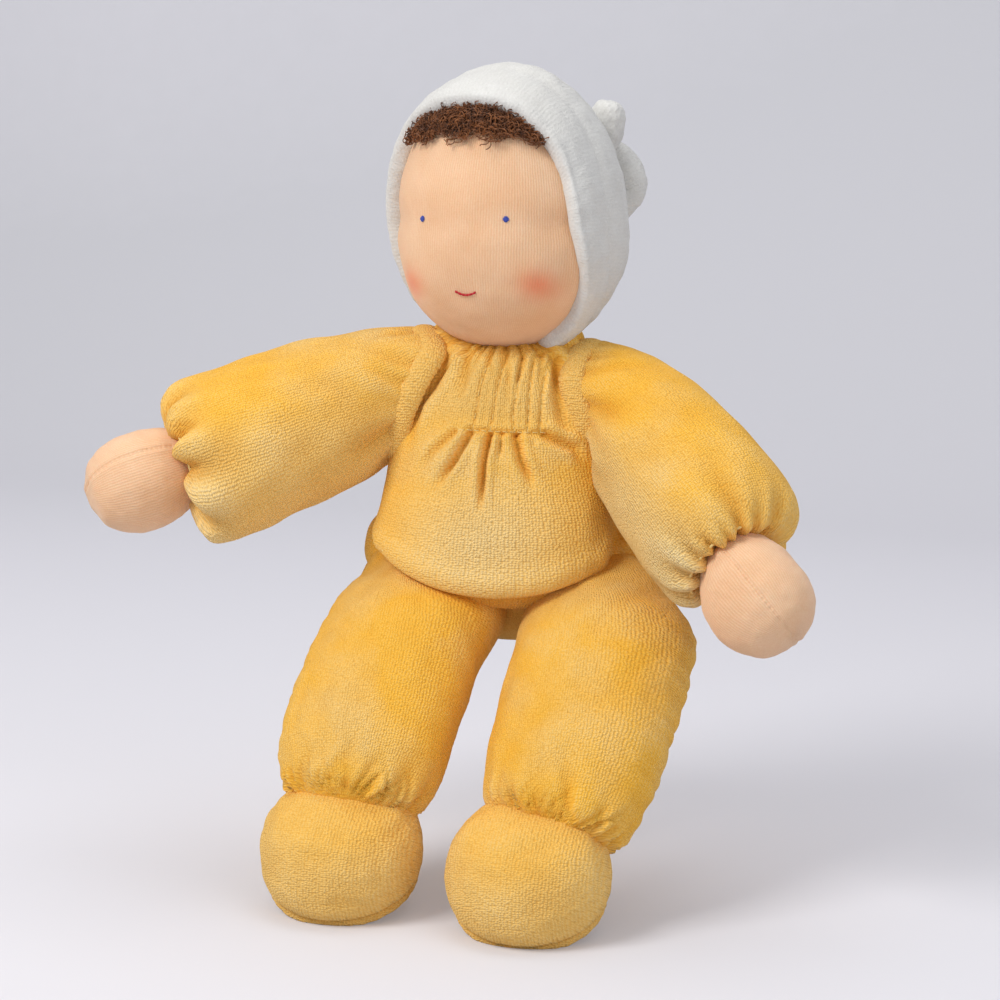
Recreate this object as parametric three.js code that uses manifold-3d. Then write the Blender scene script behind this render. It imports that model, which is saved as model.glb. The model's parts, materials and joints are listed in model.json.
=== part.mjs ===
// A soft seated doll: a gathered velour suit over wool, a tricot head and hands, and a knotted hood.
// Millimetres, +Z up. The origin is on the flat seat, on the doll's middle plane and just behind the
// hips. The doll faces -Y, its left side is +X.

import * as THREE from 'three';
import { mergeVertices } from 'three/addons/utils/BufferGeometryUtils.js';
import Module from 'manifold-3d';

const wasm = await Module();
wasm.setup();

// Cloth, thread and clearances
const VELOUR = 1.6;
const TRICOT = 1.2;
const HOOD_CLOTH = 3.4;
const THREAD = 1.5;
const REST_GAP = 0.3;
const TURN_GAP = 0.7;

// Body
const SEAT_WIDTH = 84;
const SEAT_DEPTH = 54;
const SEAT_Y = -2;
const BELLY_WIDTH = 112;
const BELLY_DEPTH = 78;
const BELLY_HEIGHT = 30;
const BELLY_Y = -13;
const CHEST_WIDTH = 92;
const CHEST_DEPTH = 62;
const CHEST_HEIGHT = 84;
const COLLAR_WIDTH = 64;
const COLLAR_DEPTH = 50;
const COLLAR_HEIGHT = 120;
const COLLAR_STAND = 10;
const NECK_Y = -12;

// Tucks stitched down the chest under the collar
const TUCK_COUNT = 5;
const TUCK_PITCH = 6.4;
const TUCK_TOP = 114;
const TUCK_END = 89;

// Head, neck and hood
const HEAD_X = -2;
const HEAD_HEIGHT = 164;
const HEAD_RADIUS = 44;
const CROWN_RISE = 62;
const HEAD_REST_TURN = -9;
const NECK_RADIUS = 17;
const NECK_LENGTH = 26;
const NECK_WALL = 5;
const HOOD_SIDE = 6;
const HOOD_NECK = 3;
const HOOD_CROWN = 5;
const HOOD_BACK = 6;
const HOOD_FACE_Y = -20;
const HOOD_FACE_TILT = 3;
const HOOD_HEM = 9;
const HOOD_HEM_STANDS = 1.4;
const HOOD_NECK_RADIUS = 31;

// The hood's tip, tied behind the crown on the left: a lobe and the short end above it
const KNOT = { at: [25, 49, 15], reach: [13, 12, 17] };
const KNOT_END = { at: [29, 39, 36], reach: [6, 6, 11] };

// Face and hair
const EYE_RISE = 6.5;
const EYE_SPACING = 34.5;
const EYE_RADIUS = 1.9;
const EYE_STANDS = 0.8;
const MOUTH_DROP = 21;
const MOUTH_WIDTH = 9;
const MOUTH_SAG = 2.4;
const MOUTH_THREAD = 0.9;
const HAIR_THICKNESS = 3.4;
const HAIR_LOWEST = 33;
const HAIR_HALF_WIDTH = 32.5;

// Arms, measured along the arm from the shoulder centre
const SHOULDER_X = 40;
const SHOULDER_HEIGHT = 98;
const SHOULDER_BALL = 21;
const ARMHOLE_RADIUS = 29;
const ARMHOLE_WIDTH = 5;
const ARM_ROOT_HEIGHT = 56;
const ARM_ROOT_THICKNESS = 45;
const SLEEVE_HEIGHT = 65;
const SLEEVE_THICKNESS = 57;
const SLEEVE_FULLEST = 72;
const SLEEVE_BULGE = 5.7;
const SLEEVE_LENGTH = 96;
const CUFF_HEIGHT = 43;
const CUFF_THICKNESS = 41;
const CUFF_HEM = 9;
const CUFF_TIE_BACK = 1.2;
const CUFF_GATHER = 1.4;
const ARM_LOWEST = 50.6;
const ARM_HIGHEST = -25;
const WRIST_AT = 97;
const WRIST_BALL = 16.6;
const HAND_AT = 114.5;
const HAND_HEIGHT = 42;
const HAND_THICKNESS = 40;
const HAND_LENGTH = 45;
const RIGHT_ARM_DIRECTION = [-0.876, -0.372, -0.305];
const LEFT_ARM_DIRECTION = [0.64, -0.525, -0.562];

// Legs, measured along the leg from the hip centre
const HIP_X = 31.4;
const HIP_Y = -30;
const HIP_HEIGHT = 25.5;
const HIP_WIDTH = 60;
const LEG_THICKNESS = 50;
const KNEE_WIDTH = 74;
const KNEE_AT = 42;
const KNEE_OUT = 8;
const LEG_SLOPE = 50.5;
const ANKLE_AT = 92;
const ANKLE_OUT = 8;
const ANKLE_WIDTH = 56;
const ANKLE_THICKNESS = 32;
const ANKLE_TIE_AT = 90;
const TIE_LAID = 2.4;
const CALF_WIDTH = 68;
const CALF_THICKNESS = 46;
const CALF_AT = 74;
const FOOT_WIDTH = 65;
const FOOT_LENGTH = 67;
const FOOT_Y = -11;
const FOOT_FLEX = 20;
const SOLE_THICKNESS = 5;
const SEAM_STANDS = 1.2;
const FLOOR = -88;

// Faces round each kind of piece; a socket is finer than the ball that turns in it
const AROUND_BODY = 20;
const AROUND_LIMB = 12;
const AROUND_SOCKET = 20;
const AROUND_HEAD_SOCKET = 30;
const AROUND_BALL = 12;
const AROUND_THREAD = 4;

const COLOURS = {
  velour: { color: '#eebb55', roughness: 0.95, metalness: 0 },
  skin: { color: '#f2c79b', roughness: 0.9, metalness: 0 },
  hood: { color: '#f2efe8', roughness: 0.97, metalness: 0 },
  hair: { color: '#4a2a17', roughness: 0.9, metalness: 0 },
  eye: { color: '#3f55a8', roughness: 0.7, metalness: 0 },
  mouth: { color: '#c6202e', roughness: 0.7, metalness: 0 },
  thread: { color: '#d8a23f', roughness: 0.7, metalness: 0 },
  wool: { color: '#ece4d2', roughness: 1, metalness: 0 },
};

const { degToRad, smoothstep } = THREE.MathUtils;
const Y = new THREE.Vector3(0, 1, 0);
const Z = new THREE.Vector3(0, 0, 1);
const X = new THREE.Vector3(1, 0, 0);

// Solids

function solid(geometry) {
  const bare = geometry.index ? geometry : geometry.clone();
  bare.deleteAttribute('normal');
  bare.deleteAttribute('uv');
  const merged = mergeVertices(bare, 1e-4);
  return new wasm.Manifold(new wasm.Mesh({
    numProp: 3,
    vertProperties: new Float32Array(merged.attributes.position.array),
    triVerts: new Uint32Array(merged.index.array),
  }));
}

function moved(shape, matrix) {
  return shape.transform(Array.from(matrix.elements));
}

function shifted(shape, x, y, z) {
  return moved(shape, new THREE.Matrix4().makeTranslation(x, y, z));
}

// A closed skin over elliptical rings, each [along, half width, half depth, shift across, shift in depth].
function loft(rings, around) {
  const points = [];
  const faces = [];
  for (const [along, width, depth, across, shift] of rings) {
    for (let i = 0; i < around; i++) {
      const turn = (2 * Math.PI * i) / around;
      points.push(width * Math.cos(turn) + across, depth * Math.sin(turn) + shift, along);
    }
  }
  for (let ring = 0; ring + 1 < rings.length; ring++) {
    for (let i = 0; i < around; i++) {
      const a = ring * around + i;
      const b = ring * around + ((i + 1) % around);
      faces.push(a, b, b + around, a, b + around, a + around);
    }
  }
  const last = (rings.length - 1) * around;
  const foot = points.length / 3;
  const head = foot + 1;
  for (const [along, , , across, shift] of [rings[0], rings.at(-1)]) {
    points.push(across, shift, along);
  }
  for (let i = 0; i < around; i++) {
    const next = (i + 1) % around;
    faces.push(foot, next, i, head, last + i, last + next);
  }
  const geometry = new THREE.BufferGeometry();
  geometry.setAttribute('position', new THREE.Float32BufferAttribute(points, 3));
  geometry.setIndex(faces);
  return solid(geometry);
}

// A smooth curve through keys that are rings.
function curveThrough(keys) {
  return new THREE.CubicInterpolant(keys.map((key) => key[0]), keys.flatMap((key) => key.slice(1)), 4);
}

// Rings at even steps on a smooth curve through the keys, each drawn in by `inset`.
function ringsThrough(keys, count, inset) {
  const curve = curveThrough(keys);
  const from = keys[0][0];
  const to = keys.at(-1)[0];
  return Array.from({ length: count + 1 }, (_, step) => {
    const along = from + ((to - from) * step) / count;
    const [width, depth, across, shift] = curve.evaluate(along);
    return [along, width - inset, depth - inset, across, shift];
  });
}

// Rings of a dome with its flat side at `along`, reaching `reach` further; a negative reach goes back.
function domeRings(along, width, depth, reach, count, across = 0) {
  const rings = Array.from({ length: count }, (_, step) => {
    const angle = (0.5 * Math.PI * (step + 1)) / (count + 0.35);
    const drawn = Math.cos(angle);
    return [along + reach * Math.sin(angle), width * drawn, depth * drawn, across, 0];
  });
  return reach < 0 ? rings.reverse() : rings;
}

function ball(radius, around = AROUND_BALL) {
  return solid(new THREE.SphereGeometry(radius, around, around / 2));
}

// A solid turned about an axis through its own origin from [along, radius] points.
function turned(profile, around, axis = Z) {
  const outline = profile.map(([along, radius]) => new THREE.Vector2(radius, along));
  const lathe = new THREE.LatheGeometry(outline, around);
  const shape = solid(lathe);
  return moved(shape, new THREE.Matrix4().makeRotationFromQuaternion(
    new THREE.Quaternion().setFromUnitVectors(Y, axis)));
}

function rod(from, to, radius, around, axis = Z) {
  return turned([[from, 0], [from, radius], [to, radius], [to, 0]], around, axis);
}

function block(low, high) {
  const size = high.map((value, i) => value - low[i]);
  const middle = high.map((value, i) => (value + low[i]) / 2);
  return shifted(solid(new THREE.BoxGeometry(...size)), ...middle);
}

// A thread laid along a curve.
function thread(curve, diameter, steps) {
  const section = new THREE.Shape().absarc(0, 0, diameter / 2, 0, 2 * Math.PI);
  return solid(new THREE.ExtrudeGeometry(section, {
    extrudePath: curve, steps, curveSegments: AROUND_THREAD / 2, bevelEnabled: false,
  }));
}

// A thread drawn round an elliptical waist at `along`.
function threadRing(along, width, depth, shift, diameter, around) {
  const profile = Array.from({ length: AROUND_THREAD }, (_, i) => {
    const angle = (2 * Math.PI * i) / AROUND_THREAD;
    return new THREE.Vector2(Math.cos(angle), Math.sin(angle)).multiplyScalar(diameter / 2);
  });
  const points = [];
  const faces = [];
  for (let i = 0; i < around; i++) {
    const turn = (2 * Math.PI * i) / around;
    for (const { x, y } of profile) {
      points.push((width + x) * Math.cos(turn), (depth + x) * Math.sin(turn) + shift, along + y);
    }
  }
  for (let i = 0; i < around; i++) {
    for (let j = 0; j < AROUND_THREAD; j++) {
      const a = i * AROUND_THREAD + j;
      const b = i * AROUND_THREAD + ((j + 1) % AROUND_THREAD);
      const c = ((i + 1) % around) * AROUND_THREAD + j;
      const d = ((i + 1) % around) * AROUND_THREAD + ((j + 1) % AROUND_THREAD);
      faces.push(a, c, d, a, d, b);
    }
  }
  const geometry = new THREE.BufferGeometry();
  geometry.setAttribute('position', new THREE.Float32BufferAttribute(points, 3));
  geometry.setIndex(faces);
  return solid(geometry);
}

function named(name, shape, look) {
  const { vertProperties, triVerts } = shape.getMesh();
  const geometry = new THREE.BufferGeometry();
  geometry.setAttribute('position', new THREE.BufferAttribute(vertProperties, 3));
  geometry.setIndex(new THREE.BufferAttribute(triVerts, 1));
  geometry.computeVertexNormals();
  const mesh = new THREE.Mesh(geometry, new THREE.MeshStandardMaterial(COLOURS[look]));
  mesh.name = name;
  return mesh;
}

// Places that several pieces share

const headCentre = new THREE.Vector3(HEAD_X, NECK_Y, HEAD_HEIGHT);
const headSocket = HEAD_RADIUS + HOOD_NECK + TURN_GAP;
const legRadius = LEG_THICKNESS / 2;
const sides = [
  { name: 'left', out: 1, arm: LEFT_ARM_DIRECTION },
  { name: 'right', out: -1, arm: RIGHT_ARM_DIRECTION },
];

// Body

// The room that both legs need as they swing from straight out to straight down, kept `grow` clear.
function legRoom(grow) {
  const radius = legRadius + TURN_GAP + grow;
  const outline = new THREE.Shape();
  outline.moveTo(HIP_Y + radius, HIP_HEIGHT - BELLY_DEPTH);
  outline.lineTo(HIP_Y + radius, HIP_HEIGHT);
  outline.absarc(HIP_Y, HIP_HEIGHT, radius, 0, Math.PI / 2, false);
  outline.lineTo(HIP_Y - BELLY_DEPTH, HIP_HEIGHT + radius);
  outline.lineTo(HIP_Y - BELLY_DEPTH, HIP_HEIGHT - BELLY_DEPTH);
  const width = 2 * BELLY_WIDTH;
  const run = { depth: width, bevelEnabled: false, curveSegments: 8 };
  const room = solid(new THREE.ExtrudeGeometry(outline, run));
  const across = new THREE.Matrix4().makeBasis(Y, Z, X).setPosition(-width / 2, 0, 0);
  return moved(room, across);
}

function bodyKeys() {
  return [
    [0, SEAT_WIDTH / 2, SEAT_DEPTH / 2, 0, SEAT_Y],
    [BELLY_HEIGHT * 0.4, BELLY_WIDTH * 0.47, BELLY_DEPTH * 0.46, 0, (SEAT_Y + BELLY_Y) / 2],
    [BELLY_HEIGHT, BELLY_WIDTH / 2, BELLY_DEPTH / 2, 0, BELLY_Y],
    [CHEST_HEIGHT, CHEST_WIDTH / 2, CHEST_DEPTH / 2, 0, NECK_Y],
    [COLLAR_HEIGHT, COLLAR_WIDTH / 2, COLLAR_DEPTH / 2, 0, NECK_Y],
    [COLLAR_HEIGHT + COLLAR_STAND, COLLAR_WIDTH * 0.43, COLLAR_DEPTH * 0.43, 0, NECK_Y],
  ];
}

// Socket in the side of the body for the armhole seam and the ball at the root of the arm.
function shoulderSocket(side, grow, around) {
  const face = SHOULDER_X - ARMHOLE_WIDTH / 2 - TURN_GAP - grow;
  const ring = rod(face, BELLY_WIDTH, ARMHOLE_RADIUS + TURN_GAP + grow, around, X);
  const root = shifted(ball(SHOULDER_BALL + TURN_GAP + grow, around), SHOULDER_X, 0, 0);
  const socket = shifted(ring.add(root), 0, NECK_Y, SHOULDER_HEIGHT);
  return side.out > 0 ? socket : socket.mirror([1, 0, 0]);
}

function bodyForm(inset) {
  const around = inset > 0 ? AROUND_BALL : AROUND_SOCKET;
  const rings = ringsThrough(bodyKeys(), 9, inset);
  rings[0][0] += inset;
  rings.at(-1)[0] -= inset;
  let form = loft(rings, AROUND_BODY)
    .subtract(legRoom(inset))
    .subtract(shifted(ball(headSocket + inset, inset > 0 ? AROUND_BALL : AROUND_HEAD_SOCKET), ...headCentre));
  for (const side of sides) {
    form = form.subtract(shoulderSocket(side, inset, around));
  }
  return form;
}

function neckRoom() {
  const from = COLLAR_HEIGHT - NECK_LENGTH - TURN_GAP;
  return shifted(rod(from, HEAD_HEIGHT, NECK_RADIUS + TURN_GAP, AROUND_BODY), HEAD_X, NECK_Y, 0);
}

// The outside of the body at a height, with a margin for what lies on it.
function bodyAt(height, margin) {
  const [width, depth, , shift] = curveThrough(bodyKeys()).evaluate(height);
  return { width: width + margin, depth: depth + margin, shift };
}

function bodyPieces() {
  const cover = bodyForm(0).subtract(bodyForm(VELOUR)).subtract(neckRoom());
  const stuffing = bodyForm(VELOUR + REST_GAP).subtract(neckRoom());
  const laid = REST_GAP + THREAD / 2;
  const onChest = (x, z) => {
    const { width, depth, shift } = bodyAt(z, laid);
    return new THREE.Vector3(x, shift - depth * Math.sqrt(1 - (x / width) ** 2), z);
  };
  const along = (points) => thread(new THREE.CatmullRomCurve3(points), THREAD, 8);
  const halfBar = (TUCK_PITCH * TUCK_COUNT) / 2;
  const bar = along([-1, -0.5, 0, 0.5, 1].map((share) => onChest(share * halfBar, TUCK_END)));
  const tucks = Array.from({ length: TUCK_COUNT }, (_, i) => {
    const x = (i - (TUCK_COUNT - 1) / 2) * TUCK_PITCH;
    const rise = TUCK_TOP - TUCK_END;
    return along([0, 0.25, 0.5, 0.75, 1].map((share) => onChest(x, TUCK_END + rise * share)));
  });
  const { width, depth, shift } = bodyAt(COLLAR_HEIGHT, laid + 0.2);
  const collarThread = threadRing(COLLAR_HEIGHT, width, depth, shift, THREAD, AROUND_BODY);
  return [
    named('body_cover', cover, 'velour'),
    named('body_stuffing', stuffing, 'wool'),
    named('tuck_stitching', tucks.reduce((all, one) => all.add(one), bar), 'thread'),
    named('collar_thread', collarThread, 'thread'),
  ];
}

// Neck

function neckPieces() {
  const bottom = COLLAR_HEIGHT - NECK_LENGTH - HEAD_HEIGHT;
  const groove = COLLAR_HEIGHT - NECK_LENGTH / 2 - HEAD_HEIGHT;
  const stump = rod(bottom, 0, NECK_RADIUS, AROUND_BODY)
    .subtract(ball(HEAD_RADIUS + TURN_GAP, AROUND_HEAD_SOCKET))
    .subtract(rod(bottom + NECK_WALL, 0, NECK_RADIUS - NECK_WALL, AROUND_LIMB))
    .subtract(rod(groove - THREAD, groove + THREAD, NECK_RADIUS * 2, AROUND_BODY)
      .subtract(rod(groove - THREAD, groove + THREAD, NECK_RADIUS - THREAD - REST_GAP, AROUND_BODY)));
  const waist = NECK_RADIUS - THREAD / 2;
  const tie = threadRing(groove, waist, waist, 0, THREAD, AROUND_BODY);
  const bore = NECK_RADIUS - NECK_WALL - REST_GAP;
  const wool = rod(bottom + NECK_WALL + REST_GAP, 0, bore, AROUND_LIMB)
    .subtract(ball(HEAD_RADIUS + TURN_GAP, AROUND_HEAD_SOCKET));
  return [
    named('neck_tube', stump, 'skin'),
    named('neck_tie_thread', tie, 'thread'),
    named('neck_stuffing', wool, 'wool'),
  ];
}

// Head, about its own centre

function headRings(grow, steps) {
  return Array.from({ length: steps + 1 }, (_, step) => {
    const angle = degToRad(-90 + 0.5 + (179 * step) / steps);
    const rise = angle < 0 ? HEAD_RADIUS : CROWN_RISE;
    const radius = (HEAD_RADIUS + grow) * Math.cos(angle);
    return [(rise + grow) * Math.sin(angle), radius, radius, 0, 0];
  });
}

// The hood lies close at the neck, and swells over the sides, the back and the crown.
function hoodRings(grow, steps) {
  return Array.from({ length: steps + 1 }, (_, step) => {
    const degrees = -90 + 0.5 + (179 * step) / steps;
    const angle = degToRad(degrees);
    const full = smoothstep(degrees, -38, 5);
    const width = HEAD_RADIUS + HOOD_NECK + (HOOD_SIDE - HOOD_NECK) * full + grow;
    const back = HOOD_BACK * full;
    const rise = angle < 0 ? HEAD_RADIUS + HOOD_NECK : CROWN_RISE + HOOD_CROWN;
    const drawn = Math.cos(angle);
    return [(rise + grow) * Math.sin(angle), width * drawn, (width + back / 2) * drawn, 0, back / 2];
  });
}

function headForm(grow) {
  return loft(headRings(grow, 12), AROUND_BODY);
}

function onHead(x, z, proud) {
  const radius = HEAD_RADIUS + proud;
  const rise = z < 0 ? radius : CROWN_RISE + proud;
  const girth = radius * Math.sqrt(1 - (z / rise) ** 2);
  return new THREE.Vector3(x, -Math.sqrt(girth ** 2 - x ** 2), z);
}

// Everything behind the tilted plane of the face opening, and `depth` deep where that is given.
function behindFace(depth) {
  const far = 4 * HEAD_RADIUS;
  const slab = block([-far, 0, -far], [far, depth ?? far, far]);
  const tilt = new THREE.Matrix4().makeRotationX(degToRad(HOOD_FACE_TILT));
  return shifted(moved(slab, tilt), 0, HOOD_FACE_Y, 0);
}

function pod({ at, reach }, grow) {
  const scale = new THREE.Matrix4().makeScale(...reach.map((value) => value + grow));
  return moved(ball(1), scale.setPosition(...at));
}

function headPieces() {
  const neckHole = rod(-2 * HEAD_RADIUS, -HEAD_RADIUS / 2, NECK_RADIUS / 2, AROUND_LIMB);
  const cover = headForm(0).subtract(headForm(-TRICOT)).subtract(neckHole);
  const bound = HEAD_RADIUS - TRICOT - REST_GAP;
  const eyeLine = threadRing(0, bound - THREAD / 2, bound - THREAD / 2, 0, THREAD, AROUND_BODY);
  const grooveBound = bound - THREAD / 2;
  const eyeGroove = threadRing(0, grooveBound, grooveBound, 0, THREAD + 2 * REST_GAP + 0.6, AROUND_BODY);
  const stuffing = headForm(-TRICOT - REST_GAP).subtract(eyeGroove);

  const eyes = sides.map(({ name, out }) => {
    const at = onHead((out * EYE_SPACING) / 2, EYE_RISE, REST_GAP);
    const outward = at.clone().normalize();
    const knot = turned(
      [[0, 0], [0, EYE_RADIUS], [EYE_STANDS * 0.6, EYE_RADIUS * 0.8], [EYE_STANDS, 0]], AROUND_LIMB);
    const place = new THREE.Matrix4().makeRotationFromQuaternion(
      new THREE.Quaternion().setFromUnitVectors(Z, outward)).setPosition(at);
    return named(`${name}_eye`, moved(knot, place), 'eye');
  });
  const smile = Array.from({ length: 7 }, (_, i) => {
    const x = (i / 6 - 0.5) * MOUTH_WIDTH;
    const sag = MOUTH_SAG * (1 - (2 * x / MOUTH_WIDTH) ** 2);
    return onHead(x, -MOUTH_DROP - sag, REST_GAP + MOUTH_THREAD / 2);
  });
  const mouth = thread(new THREE.CatmullRomCurve3(smile), MOUTH_THREAD, 8);

  const inside = loft(hoodRings(-HOOD_CLOTH, 12), AROUND_BODY).add(headForm(REST_GAP));
  const neckOpening = rod(-2 * HEAD_RADIUS, -HEAD_RADIUS / 2, HOOD_NECK_RADIUS, AROUND_BODY);
  const opening = behindFace();
  const hoodShell = loft(hoodRings(0, 12), AROUND_BODY).subtract(inside).intersect(opening);
  const hem = loft(hoodRings(HOOD_HEM_STANDS, 12), AROUND_BODY)
    .intersect(behindFace(HOOD_HEM))
    .subtract(inside)
    .subtract(block([-2 * HEAD_RADIUS, -2 * HEAD_RADIUS, -2 * HEAD_RADIUS],
      [2 * HEAD_RADIUS, 2 * HEAD_RADIUS, -HEAD_RADIUS / 2]));
  const hood = hoodShell.add(hem).subtract(neckOpening);

  const hoodOutside = loft(hoodRings(REST_GAP, 12), AROUND_BODY);
  const knot = pod(KNOT, 0).subtract(hoodOutside);
  const tail = pod(KNOT_END, 0).subtract(hoodOutside).subtract(pod(KNOT, REST_GAP));

  const hairline = block([-HAIR_HALF_WIDTH, -2 * HEAD_RADIUS, HAIR_LOWEST],
    [HAIR_HALF_WIDTH, 0, 2 * CROWN_RISE]);
  const hair = headForm(HAIR_THICKNESS)
    .subtract(headForm(REST_GAP))
    .intersect(hairline)
    .subtract(shifted(behindFace(), 0, -TURN_GAP, 0));

  return [
    named('head_cover', cover, 'skin'),
    named('head_stuffing', stuffing, 'wool'),
    named('eye_line_thread', eyeLine, 'thread'),
    ...eyes,
    named('mouth_stitch', mouth, 'mouth'),
    named('hair_tuft', hair, 'hair'),
    named('hood', hood, 'hood'),
    named('hood_knot', knot, 'hood'),
    named('hood_tail', tail, 'hood'),
  ];
}

// Arms. Along an arm, local Z runs from the shoulder to the hand, local X is up and out,
// and local Y is the axis that lifts it.

function armFrame(side) {
  const along = new THREE.Vector3(...side.arm).normalize();
  const lateral = X.clone().multiplyScalar(side.out);
  const up = lateral.clone().addScaledVector(along, -lateral.dot(along)).normalize();
  const lift = along.clone().cross(up);
  return new THREE.Matrix4().makeBasis(up, lift, along)
    .setPosition(side.out * SHOULDER_X, NECK_Y, SHOULDER_HEIGHT);
}

// Turns a shape about the lateral axis so that it lies as the body does when the arm is at `angle`.
function bodySide(shape, angle) {
  const lateral = new THREE.Vector3(Math.sin(degToRad(angle)), 0, Math.cos(degToRad(angle)));
  return moved(shape, new THREE.Matrix4().makeRotationFromQuaternion(
    new THREE.Quaternion().setFromUnitVectors(Z, lateral)));
}

// What the body sweeps as the arm turns right round beside it, from the shoulder centre out.
function bodySweep(grow) {
  const belly = SHOULDER_HEIGHT - BELLY_HEIGHT;
  const seam = ARMHOLE_WIDTH / 2 + TURN_GAP + grow;
  const side = [1, 0.88, 0.73, 0.58, 0.43, 0.25].map((share) => {
    const drop = share * belly;
    return [Math.max(bodyAt(SHOULDER_HEIGHT - drop, TURN_GAP + grow).width - SHOULDER_X, seam), drop];
  });
  const rim = belly * 1.3;
  return turned([[-BELLY_WIDTH, 0], [-BELLY_WIDTH, rim], [side[0][0], rim], ...side, [seam, 0]], AROUND_LIMB);
}

function sleeveForm(inset) {
  const keys = [
    [-ARMHOLE_WIDTH, ARM_ROOT_HEIGHT / 2, ARM_ROOT_THICKNESS / 2, 0, 0],
    [ARMHOLE_WIDTH * 2, ARM_ROOT_HEIGHT * 0.51, ARM_ROOT_THICKNESS * 0.51, 0, 0],
    [SLEEVE_FULLEST / 2, SLEEVE_HEIGHT * 0.46, SLEEVE_THICKNESS * 0.46, SLEEVE_BULGE / 2, 0],
    [SLEEVE_FULLEST, SLEEVE_HEIGHT / 2, SLEEVE_THICKNESS / 2, SLEEVE_BULGE, 0],
    [SLEEVE_LENGTH - CUFF_HEM, SLEEVE_HEIGHT * 0.46, SLEEVE_THICKNESS * 0.46, SLEEVE_BULGE, 0],
    [SLEEVE_LENGTH, CUFF_HEIGHT / 2, CUFF_THICKNESS / 2, 0, 0],
  ];
  const rings = ringsThrough(keys, 7, inset);
  rings.at(-1)[0] -= inset;
  const tube = loft(rings, AROUND_LIMB)
    .subtract(bodySide(bodySweep(inset), ARM_HIGHEST))
    .subtract(bodySide(bodySweep(inset), ARM_LOWEST));
  return tube.add(ball(SHOULDER_BALL - inset));
}

function handForm(inset) {
  const rings = [
    ...domeRings(HAND_AT, HAND_HEIGHT / 2 - inset, HAND_THICKNESS / 2 - inset, -(HAND_LENGTH / 2 - inset), 3),
    [HAND_AT, HAND_HEIGHT / 2 - inset, HAND_THICKNESS / 2 - inset, 0, 0],
    ...domeRings(HAND_AT, HAND_HEIGHT / 2 - inset, HAND_THICKNESS / 2 - inset, HAND_LENGTH / 2 - inset, 3),
  ];
  return loft(rings, AROUND_LIMB);
}

function armPieces(side) {
  const { name } = side;
  const mouth = shifted(ball(WRIST_BALL + TURN_GAP, AROUND_SOCKET), 0, 0, WRIST_AT);
  const cover = sleeveForm(0).subtract(sleeveForm(VELOUR)).subtract(mouth);
  const wristRoom = shifted(ball(WRIST_BALL + 2 * TURN_GAP), 0, 0, WRIST_AT);
  const stuffing = sleeveForm(VELOUR + REST_GAP).subtract(wristRoom);
  const root = shifted(ball(WRIST_BALL), 0, 0, WRIST_AT)
    .subtract(rod(WRIST_AT, WRIST_AT + WRIST_BALL, WRIST_BALL, AROUND_LIMB));
  const opening = rod(WRIST_AT - 2 * WRIST_BALL, HAND_AT - HAND_LENGTH / 4, WRIST_BALL * 0.5, AROUND_LIMB);
  const hand = handForm(0).add(root).subtract(handForm(TRICOT)).subtract(opening);
  const handWool = handForm(TRICOT + REST_GAP);
  const cuffAt = SLEEVE_LENGTH - CUFF_TIE_BACK;
  const gather = REST_GAP + THREAD / 2 + CUFF_GATHER;
  const cuffThread = threadRing(
    cuffAt, CUFF_HEIGHT / 2 + gather, CUFF_THICKNESS / 2 + gather, 0, THREAD, AROUND_LIMB);

  const arm = new THREE.Group();
  arm.applyMatrix4(armFrame(side));
  arm.add(
    named(`${name}_sleeve`, cover, 'velour'),
    named(`${name}_arm_stuffing`, stuffing, 'wool'),
    named(`${name}_cuff_thread`, cuffThread, 'thread'),
    named(`${name}_hand`, hand, 'skin'),
    named(`${name}_hand_stuffing`, handWool, 'wool'),
  );
  return arm;
}

function armholeSeam(side) {
  const half = ARMHOLE_WIDTH / 2;
  const bore = SHOULDER_BALL + TURN_GAP;
  const round = half * 0.6;
  const ring = turned([
    [-half, bore], [-half, ARMHOLE_RADIUS - round], [-half + round, ARMHOLE_RADIUS],
    [half - round, ARMHOLE_RADIUS], [half, ARMHOLE_RADIUS - round], [half, bore], [-half, bore],
  ], AROUND_BODY, X);
  const placed = shifted(ring, side.out * SHOULDER_X, NECK_Y, SHOULDER_HEIGHT);
  return named(`${side.name}_armhole_seam`, placed, 'velour');
}

// Legs. Along a leg, local Z runs from the hip to the ankle and local X is the axis that swings it.

function legFrame(side) {
  const slope = degToRad(LEG_SLOPE);
  const along = new THREE.Vector3(0, -Math.cos(slope), -Math.sin(slope));
  const front = new THREE.Vector3().crossVectors(along, X);
  return new THREE.Matrix4().makeBasis(X, front, along).setPosition(side.out * HIP_X, HIP_Y, HIP_HEIGHT);
}

function legForm(side, inset) {
  const keys = [
    [0, HIP_WIDTH / 2, legRadius, 0, 0],
    [KNEE_AT / 2, (HIP_WIDTH + KNEE_WIDTH) / 4 + 1, legRadius, side.out * KNEE_OUT * 0.55, 0],
    [KNEE_AT, KNEE_WIDTH / 2, legRadius, side.out * KNEE_OUT, 0],
    [CALF_AT, CALF_WIDTH / 2, CALF_THICKNESS / 2, side.out * KNEE_OUT, 0],
    [ANKLE_AT, ANKLE_WIDTH / 2, ANKLE_THICKNESS / 2, side.out * ANKLE_OUT, 0],
  ];
  const tube = ringsThrough(keys, 6, inset).map(([along, width, depth, across, shift]) => [
    along, width, Math.min(depth, legRadius - inset), across, shift]);
  const ankle = [ANKLE_WIDTH / 2 - inset, ANKLE_THICKNESS / 2 - inset, ANKLE_THICKNESS / 2 - inset];
  return loft([
    ...domeRings(0, HIP_WIDTH / 2 - inset, legRadius - inset, -(legRadius - inset), 3),
    ...tube,
    ...domeRings(ANKLE_AT, ...ankle, 3, side.out * ANKLE_OUT),
  ], AROUND_LIMB);
}

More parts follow.
